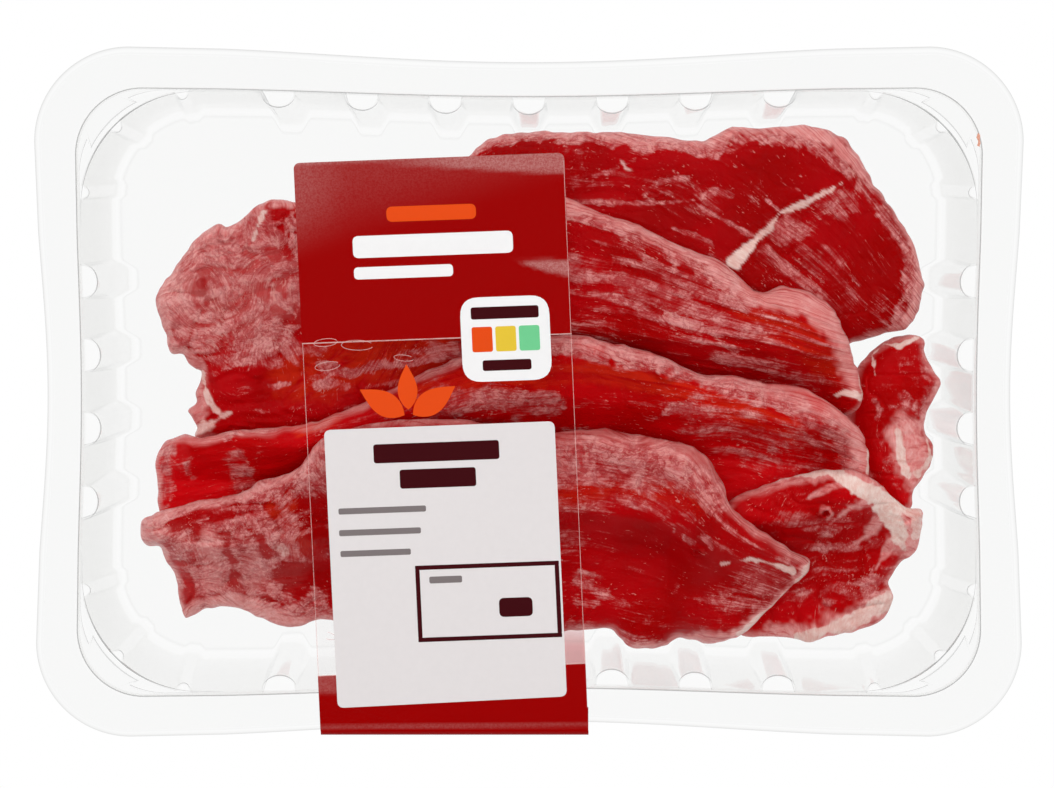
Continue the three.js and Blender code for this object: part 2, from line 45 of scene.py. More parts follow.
# Flutes: count and pitch on a side, angles in a corner, then sizes at the base and at their tops.
LONG_FLUTES = (7, 22.05)
SHORT_FLUTES = (4, 19.5)
CORNER_FLUTES = (8.0, 45.0, 82.0)
FLUTE_HALF = (5.7, 4.6)
FLUTE_DEPTH = (4.2, 4.1)
CORNER_DENT = (1.3, 2.0)
CORNER_DENT_HALF = (7.5, 3.4)
LEDGE_STEP = (25.0, 63.0)

# Where a ring of the tray has its points: across a flute, in the gap beside it and round a corner.
FLUTE_OFFSETS = np.sin(np.linspace(-np.pi / 2, np.pi / 2, 19))
GAP_STEPS = (-3.0, 0.0, 3.0)
CORNER_ANGLES = np.linspace(0, 90, 91)

# Edge lines in the tray's tables are painted light and shade: above 0 a dark line painted into the clear
# sheet where it turns out of view, below 0 a painted highlight that lightens it.
# Rings of the rounded foot: angle, strength of the painted edge line, share of the wall's painted lightness.
FOOT_RINGS = [
    (0, 0, 0), (8, 0.05, 0), (14, 0.09, 0), (20, 0.02, 0), (27, -1, 0), (36, -1, 0), (46, -0.3, 0.5),
    (60, -0.3, 1), (75, -0.3, 1), (90, -0.3, 1),
]
# Rings over the flutes' tops: share of the flutes' depth, height, painted edge line.
FLUTE_RINGS = [(0.995, -0.3, 0.0), (0.98, -0.12, 0.8), (0.925, -0.03, 0.8), (0.90, 0.0, -1), (0.8, 0.0, -1)]
# All further rings: way out, height, painted edge line. The corner ledge and the step across it:
LEDGE_RINGS = [(0.0, 0.3, 1), (0.2, 0.42, 1), (0.28, 0.46, 0), (0.36, 0.5, -1), (0.8, 0.5, -1), (0.9, 0.5, 0)]
STEP_RINGS = [(-0.25, 0.5, -0.8), (-0.12, 0.52, 0.0), (0.0, 0.75, 1), (0.12, 1.0, 1), (0.25, 1.1, 0)]
# The flange at its inner edge, at its outer edge, and below its inner edge:
NEAR_RIM = [
    (0.02, -0.9, 0), (0.04, -0.55, 0), (0.06, -0.4, 0.9), (0.24, -0.2, 0.9), (0.30, -0.15, 0),
    (0.38, -0.1, -1), (0.6, -0.05, -1), (0.8, -0.02, 0), (1.6, 0, 0),
]
NEAR_OUTER = [
    (-2.3, 0, 0), (-1.95, -0.02, 0.07), (-1.75, -0.06, 0.07), (-1.5, -0.14, 0), (-1.1, -0.4, 0),
    (-0.6, -0.9, 0), (-0.3, -1.4, 0.1), (0, -2.1, 0.2), (-WALL, -2.1, 0.1), (-1.0, -1.3, 0), (-1.6, -0.7, 0),
    (-2.4, -WALL, 0),
]
UNDER_RIM = [(1.9, -WALL, 0), (0.9, -0.8, 0), (0.55, -1.3, 0)]

# The film, the band and the sticker: heights of their undersides and tops, and places in plan. The
# band's panels end at y values on its left and right edge, and it runs along and down two directions.
FILM_INSET = 2.3
FILM_Z = (45.1, 45.3)
BAND_Z = (45.45, 45.65)
BAND_CORNERS = dict(
    back_left=(-61.7, 60.4), back_right=(9.2, 63.0),
    front_left=(-54.8, -90.3), front_right=(15.7, -90.3),
)
BAND_ALONG, BAND_DOWN = (0.9993, 0.0366), (0.0457, -0.99895)
BAND_COLUMNS = 48
BAND_TUCK = 7.0
BAND_FOLD = 1.6
BAND_RADIUS = 1.6
BAND_UNDER = (42.5, 42.3)
BACK_PANEL_END = (13.0, 15.6)
FRONT_PANEL_START = (-74.5, -71.1)
STICKER_CORNERS = [(-53.8, -9.7), (6.7, -7.35), (10.0, -79.8), (-50.3, -82.9)]
STICKER_Z = (45.8, 45.91)
STICKER_RADIUS = 1.8

# Each steak: "outline" is its plan in millimetres, clockwise from its back left corner. "turns" are the
# indices where its right end, front edge and left end begin, and "grid" is its mesh's columns by rows.
# "tone" scales its red as painted light, lifting the red of steaks that lie in shade between their
# neighbours, the third most. "ridges" and "creases" are their heights, "smooth_from" is the stretch of x over
# which its crumpled left lobe ends, "swirl" turns the fibres in that lobe, and "arc" bends them.
STEAKS = [
    dict(
        name="steak_side", thickness=10.0, tone=1.12, ridges=0.3, creases=0.4,
        smooth_from=(200, 210), swirl=0.3, turns=(3, 14, 16), grid=(90, 170),
        outline=[
            (95, 9.1), (99.6, 12.5), (104.9, 13.6), (109.2, 12.6), (109.9, 9.4), (111.9, 4.4),
            (114.2, 0.6), (112.2, -4.2), (109.9, -9.8), (110.3, -13.8), (112.2, -17.6), (111.6, -21.8),
            (109, -26), (106.6, -29.8), (106.6, -33.2), (103, -35.8), (96.3, -31.7), (90.8, -20.7),
            (88.1, -6.9), (90.3, 3.6),
        ],
    ),
    dict(
        name="steak_back", arc=0.006, thickness=13.0, tone=0.90, ridges=0.3, creases=0.3,
        smooth_from=None, swirl=0, turns=(14, 21, 25), grid=(300, 145),
        outline=[
            (-35.5, 51.1), (-18.5, 61.5), (-10.7, 68.1), (0.3, 69.9), (11.9, 69.8), (23.7, 69.9),
            (36.4, 68.7), (46.9, 67.3), (51.6, 68.7), (56, 71.4), (62.6, 70.7), (71.1, 71.6),
            (78.6, 71.5), (87.1, 68.1), (91, 63.5), (95.7, 54.9), (100.9, 48.3), (106.4, 38.4),
            (109.2, 29.3), (109.4, 26.3), (104.7, 15.8), (98.6, 14.2), (80.2, 9.5), (47.2, 12),
            (8.6, 17), (-21.7, 22.2), (-36.9, 34.2),
        ],
    ),
    dict(
        name="steak_second", thickness=12.0, tone=1.00, ridges=0.6, creases=0.8,
        smooth_from=(-50, -25), swirl=1, turns=(20, 24, 31), grid=(300, 125),
        outline=[
            (-98.3, 32.1), (-93.9, 38.4), (-89.5, 42.8), (-86.2, 44.5), (-83.7, 43.6), (-78.7, 46.7),
            (-74.3, 50), (-69.1, 51.3), (-64.7, 50.8), (-46, 56.2), (-26.8, 59.6), (-7.8, 58),
            (10.3, 51.7), (19, 47.9), (29.6, 44.2), (41, 38.7), (52.6, 34.1), (62.4, 26),
            (68.9, 27.4), (77.3, 25.5), (82.4, 21.4), (87.6, 11.1), (90, 3.5), (91.1, -4.6),
            (82.1, -10.5), (62, -10), (47.3, -8.5), (8.6, -2.5), (-30.1, -6.5), (-63.2, -16),
            (-81.4, -15.2), (-92.2, -14.7), (-91.9, -11.6), (-94.4, -6.9), (-92.5, -5.3), (-92.2, -2),
            (-90.6, 3.6), (-93.6, 5.5), (-95.3, 8), (-99.1, 8.8), (-100.5, 14.3), (-102.4, 19.6),
            (-103.3, 24.1),
        ],
    ),
    dict(
        name="steak_third", thickness=12.0, tone=1.30, ridges=0.3, creases=0.2,
        smooth_from=None, swirl=0, turns=(18, 21, 27), grid=(290, 100),
        outline=[
            (-101.1, -16.6), (-94.7, -13.3), (-88.4, -13.8), (-82.1, -12.2), (-72.4, -11.3),
            (-61.4, -10.2), (-45.9, -4.5), (-26.9, 4.8), (-7.8, 11.7), (11.7, 14.7), (22.7, 12.5),
            (35.7, 8.7), (46.3, 3.9), (54.4, 3.3), (63.3, 1.4), (73, 0.4), (79, -2.3), (86, -7.5),
            (91.1, -13.1), (93.2, -20.2), (92, -27), (85.5, -32.5), (72, -35.6), (47.2, -37.5),
            (8.6, -32.5), (-30, -33.9), (-63, -41), (-90.6, -42.6), (-101.3, -37.8), (-103, -31.4),
            (-103, -27), (-103.3, -20.7),
        ],
    ),
    dict(
        name="steak_under", thickness=11.0, tone=1.14, ridges=0.4, creases=0.7,
        smooth_from=(200, 210), swirl=0.4, turns=(7, 14, 21), grid=(170, 130),
        outline=[
            (63.2, -27.3), (71.8, -24.5), (78.4, -22.6), (88.8, -22.6), (94, -25.3), (99.2, -30),
            (103.1, -33.3), (107.8, -33.9), (108.6, -35.8), (108.3, -39.4), (107.2, -46.5),
            (102.5, -50.1), (100, -54.5), (101, -59.7), (97.9, -65.6), (92.6, -67.9),
            (83.6, -70.1), (77, -71.7), (74.2, -70.7), (69.8, -70.2), (63.2, -70.2), (58.6, -69.3),
            (50.4, -64.4), (48.3, -50.6), (50.4, -36.9), (55.3, -30.6),
        ],
    ),
    dict(
        name="steak_front", thickness=13.0, tone=0.98, ridges=0.3, creases=0.8,
        smooth_from=(-48, -20), swirl=1, turns=(21, 25, 45), grid=(310, 130),
        outline=[
            (-106.5, -37.1), (-103, -34.9), (-93.7, -31.9), (-78.2, -28.7), (-73.3, -25.7),
            (-65.7, -23.2), (-60.8, -20), (-56, -13.3), (-45.5, -9.8), (-26.6, -7.9), (-7.8, -9.8),
            (7.6, -12.2), (18.9, -11.1), (29.4, -12.7), (40.5, -14.6), (46.1, -17), (52.3, -25.4),
            (53.7, -30.5), (56.9, -33.7), (62, -37.5), (73.2, -45.3), (76.7, -47.5), (75.9, -50.4),
            (72.1, -54.2), (66.7, -59.4), (58.3, -67.6), (54.4, -69.5), (49.2, -71), (41.3, -70.1),
            (38.6, -72.2), (33.1, -73.4), (27.4, -72.8), (24.9, -69.8), (22.5, -67.9), (16.2, -68.1),
            (-2.4, -69.1), (-29.9, -67.7), (-54.4, -65.5), (-59.6, -65.5), (-63.4, -67.1),
            (-68.4, -66.8), (-74.1, -64.9), (-79.1, -62.4), (-87.3, -61.7), (-92.6, -63.7),
            (-95, -64.8), (-96.3, -63), (-96.7, -60.5), (-98.6, -50.9), (-100.5, -47.9),
            (-101.3, -44.4), (-104.9, -44.4), (-106.8, -41.6),
        ],
    ),
]

RIM_STAIN = (117.4, 66.4)
RIM_STAIN_SHAPE = [
    (0.3, 1.9), (0.9, 1.3), (0.8, 0.2), (1.0, -0.9), (0.7, -1.8), (0.1, -1.5), (0.4, -0.4), (-0.1, 0.7),
]

# Bubbles beside the sticker: place along and down the band, half length and width, arc and turn.
BUBBLES = [
    (6.2, 47.4, 3.1, 1.0, 0, 345, -4), (6.4, 53.6, 3.3, 1.1, 0, 330, -6),
    (14.5, 48.4, 4.2, 1.3, 20, 330, 3), (64.5, 95.2, 2.3, 1.1, 80, 280, 0),
    (65.0, 108.0, 2.2, 1.2, 80, 290, 0), (65.2, 119.6, 2.4, 1.2, 85, 275, 0),
    (3.2, 124.5, 2.0, 0.9, -100, 95, 20), (26.5, 52.2, 2.6, 0.8, 10, 320, 8),
]

# Curled knobs: steak, place and radius in millimetres.
KNOBS = [
    ("steak_third", 37.0, 5.0, 2.9), ("steak_front", 60.3, -36.5, 1.9), ("steak_under", 80.1, -33.7, 1.7),
    ("steak_front", 45.5, -44.0, 1.5), ("steak_second", -83.5, 41.5, 2.2),
]

# Draping, in millimetres: where the bent fibres begin, the tray's floor, the gap between layers, the
# share of the thickness below the widest line, the rounding above and below it, the height field's
# half sizes, how far it is widened and smoothed, and how ragged a steak's edge is.
ARC_FROM = 5
FLOOR = 0.9
LAYER_GAP = 0.5
EDGE_SHARE = 0.45
TOP_ROUND = 8.0
UNDER_ROUND = 5.0
FIELD_X, FIELD_Y = 120, 80
DRAPE = 5
RAGGED = 0.35
FIRST_SEED, SEED_STEP = 100, 20

# Colours in linear light, first the meat's.
DARK_RED = (0.35, 0.0003, 0.0006, 1)
DEEP_RED = (0.45, 0.0008, 0.0025, 1)
WARM_RED = (0.56, 0.020, 0.004, 1)
# Painted sheen of light on the wet meat, in a dark and a light pink.
SHEEN_DARK, SHEEN_LIGHT = (0.50, 0.048, 0.050, 1), (0.80, 0.370, 0.350, 1)
MOTTLE_RED = (0.42, 0.012, 0.016, 1)
# Painted crease shade: darker red in the wrinkles.
CREASE_SHADE_RED = (0.36, 0.012, 0.018, 1)
# Painted glints: pale flecks for the wet meat's sparkle.
GLINT_PINK = (0.70, 0.30, 0.26, 1)
# Painted highlights on the steaks' rounded edges, where light catches them and shines through.
PALE_DARK, PALE_LIGHT = (0.74, 0.20, 0.19, 1), (0.87, 0.45, 0.42, 1)
FAT_DARK, FAT_LIGHT = (0.78, 0.44, 0.38, 1), (0.90, 0.72, 0.66, 1)
DRIED_JUICE = (0.74, 0.36, 0.26, 1)
WHITE = (1, 1, 1, 1)
PRINT_RED, PRINT_SHINE = (0.300, 0.0003, 0.0003, 1), (0.64, 0.36, 0.34, 1)
PAPER = (0.735, 0.695, 0.695, 1)
# Painted highlight of the band's clear edges and bubble outlines.
SEAM_HIGHLIGHT_PINK = (0.78, 0.50, 0.47, 1)
INKS = dict(
    orange=(0.75, 0.068, 0.006, 1), white=(0.85, 0.84, 0.84, 1), maroon=(0.048, 0.004, 0.006, 1),
    green=(0.16, 0.58, 0.27, 1), yellow=(0.75, 0.52, 0.04, 1), grey=(0.20, 0.17, 0.17, 1),
)

# Clear sheets: their tint straight through, along a wall and at a grazing edge, and the colour of the lines
# kept at their points: painted dark edge lines on the tray, the meat's red on the band's window.
CLEAR_SHEETS = dict(
    clear_tray=dict(
        tint=(0.982, 0.983, 0.982, 1), wall_tint=(0.925, 0.925, 0.92, 1), edge_tint=(0.35, 0.36, 0.37, 1),
        gloss=0.35, roughness=0.05, line=(0.5, 0.5, 0.5, 1),
    ),
    lid_film=dict(
        tint=(0.985, 0.985, 0.984, 1), wall_tint=(0.96, 0.96, 0.96, 1), edge_tint=(0.8, 0.8, 0.8, 1),
        gloss=0.35, roughness=0.08,
    ),
    band_window=dict(
        tint=(0.98, 0.975, 0.975, 1), wall_tint=(0.95, 0.95, 0.95, 1), edge_tint=(0.8, 0.8, 0.8, 1),
        gloss=0.3, roughness=0.12, line=(0.82, 0.58, 0.58, 1),
    ),
)

# Lights: name, place and size in metres, power, and whether reflections show it.
LIGHTS = [
    ("top_box", (0.0, 0.1, 1.5), (1.2, 1.0), 12, False),
    ("back_box", (0.0, 1.0, 0.9), (1.4, 0.7), 5, True),
    ("left_box", (-1.0, 0.2, 0.8), (0.7, 0.9), 2, True),
    ("right_box", (1.0, 0.2, 0.8), (0.7, 0.9), 2, True),
]

# Patterns of the meat: stretch along and across the fibres or scale, then detail, roughness and warp.
FIBRE_PATTERNS = dict(
    streak=((0.05, 0.42, 1), 4, 0.6, 0.5), fine=((0.3, 1.2, 1), 4, 0.65, 0.6),
    glint_fleck=((0.55, 1.25, 1), 2, 0.5, 1.0), lines=((0.06, 1.3, 1), 2, 0.5, 0.3),
)
PLACE_PATTERNS = dict(
    blotch=(0.13, 6, 0.72, 0.9), region=(0.045, 2, 0.5),
    fold=(0.26, 3, 0.55, 1.6), mottle=(0.22, 4, 0.62, 1.1),
)

# Dull reflections on the printed fields, in the photograph's pixels. A slanted line is a point and a
# slope, and each pair is where something begins and is full.
REACH_LINE, REACH_SOFT, REACH_LEFT = (300, 243, -0.30), (-60, 22), (296, 356)
EDGE_LINE, EDGE_SOFT = (294, 162.5, -0.037), (0, 5)
ARC_X, ARC_Y, ARC_BEND, ARC_DROP, ARC_SOFT = (360, 470), 166, (400, 573), 7, (-2.5, 2.5)
TONGUE_LINE, TONGUE_X, TONGUE_WIDENS = (520, 262, 0.13), (512, 530), (512, 560)
TONGUE_HALF, TONGUE_SOFT = 6.5, (-1.5, 2.0)
STREAK_LINE, STREAK_SOFT = (400, 726.5, -0.012), (1.2, 3.2)
CORNER_X, CORNER_TOP, CORNER_LOW = (334, 340), (660, 668), (690, 696)
BLUSH_X, BLUSH_Y, BLUSH = (548, 566), (622, 636), 0.9

# Blocks of print: left and top along and down the band, width, height, corner radius and ink.
BAND_BLOCKS = [
    (23.7, 12.4, 23.5, 4.0, 1.6, "orange"),
    (14.5, 19.8, 42.0, 5.8, 1.6, "white"),
    (14.5, 28.0, 26.0, 3.2, 1.2, "white"),
    (41.8, 37.0, 23.4, 22.2, 5.0, "white"),
]
BADGE_BLOCKS = [
    (44.6, 39.6, 17.8, 3.2, 0.7, "maroon"),
    (44.6, 44.8, 5.4, 6.6, 0.7, "orange"),
    (50.8, 44.8, 5.4, 6.6, 0.7, "yellow"),
    (57.0, 44.8, 5.4, 6.6, 0.7, "green"),
    (47.1, 53.6, 12.8, 2.8, 0.7, "maroon"),
]
STICKER_BLOCKS = [
    (17.4, 74.6, 33.0, 5.0, 0.8, "maroon"),
    (24.0, 81.5, 20.0, 5.0, 0.8, "maroon"),
    (7.5, 91.1, 23.0, 1.6, 0.5, "grey"),
    (7.4, 96.8, 21.5, 1.6, 0.5, "grey"),
    (7.5, 102.3, 18.5, 1.6, 0.5, "grey"),
    (26.9, 106.9, 37.8, 1.15, 0.2, "maroon"),
    (26.9, 125.9, 37.8, 1.15, 0.2, "maroon"),
    (26.9, 108.05, 1.15, 17.85, 0.2, "maroon"),
    (63.55, 108.05, 1.15, 17.85, 0.2, "maroon"),
    (30.5, 109.9, 8.6, 1.8, 0.5, "grey"),
    (48.5, 116.2, 8.8, 5.0, 1.4, "maroon"),
]
# Leaves: foot along and down the band, length, width and turn.
LEAVES = [(28.2, 67.2, 13.5, 6.4, -32), (26.0, 67.2, 13.5, 6.4, -148), (27.1, 65.8, 12.0, 5.2, -90)]
PRINT_GAP, PRINT_THICKNESS, STICKER_GAP = 0.01, 0.03, 0.005

# What the surfaces of the steaks show: layer, strength, half width in pixels, and a line's pixels in the
# photograph. The sheen layer is painted light: the dull pink of light on wet meat, laid over the red. "red"
# clears it, "pale" is a painted highlight on thin rounded edges where light catches them and shines through,
# "warm" is brighter red, "fat" is white.
MARKS = {}
MARKS["steak_back"] = [
    ("painted_sheen", 0.9, 9, [(480, 142), (520, 131), (600, 136), (660, 142), (715, 150), (740, 128)]),
    ("pale", 0.7, 6, [(470, 140), (520, 126), (600, 131), (660, 138), (700, 141)]),
    ("pale", 0.9, 7, [(712, 138), (738, 126), (768, 124), (803, 128), (838, 143), (862, 168)]),
    ("painted_sheen", 0.8, 8, [(735, 142), (768, 140), (803, 142), (830, 158), (852, 174)]),
    ("pale", 0.8, 3.5, [(864, 166), (901, 214), (921, 262), (918, 300), (899, 335)]),
    ("painted_sheen", 0.65, 7, [(860, 180), (890, 222), (911, 262), (908, 300), (891, 335)]),
    ("painted_sheen", 0.5, 15, [(775, 236), (815, 218), (846, 204)]),
    ("painted_sheen", 0.4, 16, [(770, 262), (800, 262), (835, 258)]),
    ("painted_sheen", 0.3, 20, [(800, 290), (850, 290)]),
    ("painted_sheen", 0.75, 8, [(772, 240), (784, 222)]),
    ("painted_sheen", 0.28, 26, [(590, 165), (640, 175), (700, 195)]),
    ("painted_sheen", 0.75, 2.5, [(577, 203), (628, 203), (676, 202), (700, 199), (717, 190), (732, 196)]),
    ("painted_sheen", 0.75, 2.2, [(645, 195), (662, 181), (688, 177)]),
    ("painted_sheen", 0.7, 2.6, [(696, 203), (710, 213), (732, 225), (752, 236)]),
    ("painted_sheen", 0.7, 2.4, [(672, 228), (692, 234), (712, 246)]),
    ("painted_sheen", 0.65, 2.2, [(596, 175), (621, 167), (634, 160)]),
    ("fat", 0.7, 2, [(622, 160), (625, 168), (632, 170)]),
    ("fat", 0.8, (0.7, 2.6), [(855, 175), (828, 191), (810, 201), (780, 213), (768, 230), (752, 242)]),
    ("fat", 1, (2.6, 7.0), [(756, 240), (742, 254), (733, 262)]),
    ("painted_sheen", 0.8, 1.6, [(783, 183), (795, 187), (806, 197)]),
    ("painted_sheen", 0.8, 1.3, [(778, 210), (767, 200)]),
    ("red", 1, 16, [(760, 158), (790, 165), (815, 172)]),
    ("red", 1, 12, [(850, 235), (875, 250), (885, 290)]),
]
MARKS["steak_second"] = [
    ("painted_sheen", 0.95, 52, [(212, 290), (235, 255), (262, 270)]),
    ("pale", 0.24, 46, [(205, 300), (225, 262), (250, 290)]),
    ("pale", 0.45, 14, [(172, 300), (186, 256), (215, 236)]),
    ("painted_sheen", 0.85, 26, [(185, 330), (225, 340), (270, 335)]),
    ("painted_sheen", 0.7, 20, [(262, 222), (285, 235)]),
    ("pale", 0.8, 7, [(160, 300), (185, 245), (215, 226), (240, 210), (270, 200), (300, 198)]),
    ("pale", 0.7, 6, [(160, 305), (168, 335), (178, 352), (200, 366)]),
    ("pale", 0.7, 9, [(197, 385), (200, 405), (196, 420)]),
    ("painted_sheen", 0.9, 18, [(225, 243), (250, 250), (225, 275)]),
    ("red", 0.75, 7, [(205, 274), (199, 290), (194, 303)]),
    ("red", 0.8, 4, [(259, 285), (264, 298), (277, 312)]),
    ("red", 0.7, 5, [(276, 216), (285, 232)]),
    ("red", 0.7, 5, [(285, 250), (290, 258)]),
    ("red", 0.5, 4, [(228, 355), (240, 352), (262, 352)]),
    ("red", 0.55, 5, [(262, 222), (270, 250), (284, 272)]),
    ("red", 0.75, 3.5, [(254, 272), (268, 294), (286, 318)]),
    ("red", 0.7, 3, [(268, 268), (280, 290), (292, 306)]),
    ("red", 0.65, 3, [(228, 368), (262, 372), (296, 366)]),
    ("red", 0.6, 3, [(182, 262), (190, 276), (188, 288)]),
    ("red", 1, 14, [(225, 395), (262, 398), (300, 385)]),
    ("painted_sheen", 0.75, 5, [(318, 362), (350, 376), (385, 362)]),
    ("warm", 0.8, 26, [(300, 376), (350, 362), (430, 348)]),
    ("painted_sheen", 0.5, 12, [(390, 362), (430, 352), (470, 346)]),
    ("painted_sheen", 0.7, 6, [(400, 352), (450, 345), (470, 352)]),
    ("painted_sheen", 0.65, 7, [(322, 388), (345, 384)]),
    ("painted_sheen", 0.55, 3, [(258, 380), (272, 386), (290, 384)]),
    ("painted_sheen", 0.9, 2.5, [(246, 250), (251, 265), (257, 275), (270, 292), (285, 305), (296, 318)]),
    ("fat", 0.8, 1.3, [(264, 212), (257, 228), (253, 240)]),
    ("fat", 0.7, (1.2, 2.8), [(202, 373), (206, 390), (210, 403), (217, 413)]),
    ("fat", 0.65, (1, 7), [(234, 410), (218, 419), (199, 431)]),
    ("pale", 0.75, 8, [(560, 202), (600, 211), (640, 227), (700, 254), (740, 285), (756, 298)]),
    ("painted_sheen", 0.9, 10, [(560, 212), (600, 222), (650, 242), (700, 266), (745, 300)]),
    ("painted_sheen", 0.38, 30, [(565, 228), (640, 255), (720, 298)]),
    ("painted_sheen", 0.25, 34, [(570, 275), (640, 300), (720, 335), (800, 370)]),
    ("red", 0.8, 12, [(575, 320), (640, 340), (700, 362)]),
    ("warm", 0.55, 20, [(745, 300), (790, 330), (830, 365)]),
    ("pale", 0.8, 12, [(768, 298), (800, 300), (826, 318), (846, 345), (858, 385)]),
    ("fat", 0.8, (1, 4.5), [(822, 399), (845, 392), (862, 396)]),
    ("fat", 0.75, (0.8, 1.6), [(859, 372), (863, 394)]),
    ("painted_sheen", 0.8, 3.5, [(668, 315), (700, 326), (722, 340), (735, 352)]),
    ("painted_sheen", 0.75, 3, [(572, 288), (600, 293), (640, 306)]),
]
MARKS["steak_side"] = [
    ("pale", 0.9, 5, [(926, 342), (942, 375), (932, 411), (918, 432)]),
    ("painted_sheen", 0.4, 8, [(925, 350), (934, 380), (925, 410)]),
    ("red", 0.9, 15, [(895, 365), (902, 395), (900, 418)]),
    ("fat", 0.9, (0.8, 2.0), [(875, 375), (872, 355), (884, 344), (900, 346), (918, 338)]),
    ("painted_sheen", 0.5, 5, [(904, 396), (912, 404)]),
    ("painted_sheen", 0.6, 4, [(876, 402), (880, 412), (876, 420)]),
    ("pale", 1, 17, [(905, 436), (914, 452), (916, 470)]),
    ("fat", 0.85, (2, 5), [(898, 431), (901, 452), (906, 474)]),
    ("fat", 0.75, (1, 4), [(926, 436), (931, 458), (918, 474)]),
    ("painted_sheen", 0.5, 5, [(878, 430), (884, 455), (890, 470)]),
]
MARKS["steak_third"] = [
    ("pale", 0.85, 6, [(160, 440), (154, 460), (156, 485), (152, 515)]),
    ("painted_sheen", 0.7, 8, [(168, 446), (165, 470), (166, 500)]),
    ("pale", 0.6, 5, [(180, 437), (200, 432)]),
    ("painted_sheen", 0.95, 11, [(225, 428), (262, 420), (300, 407), (340, 393), (400, 372)]),
    ("painted_sheen", 0.62, 13, [(236, 462), (243, 482)]),
    ("painted_sheen", 0.5, 5, [(186, 468), (192, 477)]),
    ("painted_sheen", 0.85, 11, [(400, 370), (480, 350), (560, 345), (620, 356), (680, 370), (740, 388),
      (800, 408), (838, 436), (856, 466)]),
    ("pale", 0.6, 7, [(400, 362), (480, 341), (560, 338), (620, 347), (680, 361), (740, 379),
      (800, 398), (842, 420), (862, 450)]),
    ("pale", 1, 2.0, [(658, 372), (659, 364), (667, 360), (676, 364), (677, 372), (669, 377)]),
    ("red", 0.8, 2.4, [(665, 369), (670, 370)]),
    ("warm", 0.6, 10, [(560, 370), (620, 376), (680, 392), (735, 408), (790, 428)]),
    ("painted_sheen", 0.46, 9, [(560, 372), (620, 378), (680, 394), (735, 410)]),
    ("warm", 0.75, 12, [(420, 395), (500, 377), (560, 374)]),
    ("red", 0.6, 8, [(420, 392), (500, 373), (560, 368), (640, 383), (700, 400), (780, 426)]),
    ("painted_sheen", 0.6, 4.5, [(645, 424), (662, 416), (680, 405), (700, 399)]),
    ("painted_sheen", 0.35, 24, [(700, 420), (770, 440), (820, 455)]),
    ("painted_sheen", 0.75, 3.5, [(772, 449), (782, 454)]),
    ("painted_sheen", 0.75, 3, [(803, 432), (812, 440)]),
    ("fat", 0.95, (1, 3), [(869, 434), (869, 455), (868, 472)]),
    ("pale", 0.85, 9, [(834, 398), (856, 428), (862, 465)]),
    ("red", 1, 16, [(600, 414), (650, 436)]),
    ("painted_sheen", 0.62, 14, [(440, 404), (500, 398), (548, 404)]),
    ("warm", 0.8, 10, [(300, 425), (330, 418)]),
]
MARKS["steak_under"] = [
    ("painted_sheen", 0.27, 44, [(800, 520), (850, 560)]),
    ("painted_sheen", 0.5, 16, [(790, 590), (830, 590), (860, 580)]),
    ("pale", 0.8, 7, [(760, 486), (800, 474), (850, 473), (905, 500)]),
    ("fat", 0.95, (0.6, 3.5), [(755, 486), (800, 475), (840, 471)]),
    ("fat", 1, (3, 13), [(830, 473), (864, 490), (892, 506)]),
    ("fat", 1, (6, 10), [(862, 488), (882, 508), (898, 530)]),
    ("fat", 0.7, (8, 2), [(884, 508), (894, 534), (905, 550)]),
    ("pale", 0.9, (6, 1), [(872, 500), (850, 508), (830, 524)]),
    ("pale", 0.9, (6, 1), [(880, 520), (866, 536), (848, 548)]),
    ("pale", 0.8, (5, 1), [(892, 540), (884, 556), (876, 568)]),
    ("pale", 0.8, (4, 1), [(850, 482), (826, 488), (804, 500)]),
    ("fat", 0.7, (7, 4), [(902, 506), (916, 514), (916, 536)]),
    ("fat", 0.95, (6, 2), [(888, 510), (908, 508), (923, 502)]),
    ("pale", 0.95, 15, [(905, 535), (912, 550), (905, 520)]),
    ("painted_sheen", 0.9, 10, [(880, 570), (870, 590), (885, 610)]),
    ("red", 0.8, 9, [(880, 553), (884, 565)]),
    ("fat", 0.8, (10, 5), [(885, 604), (850, 622), (800, 638)]),
    ("pale", 0.95, 14, [(885, 606), (850, 625), (805, 640), (775, 640)]),
    ("painted_sheen", 0.7, 7, [(820, 548), (826, 536)]),
    ("pale", 0.8, 1.6, [(819, 515), (822, 509), (829, 509), (832, 515), (827, 520)]),
]
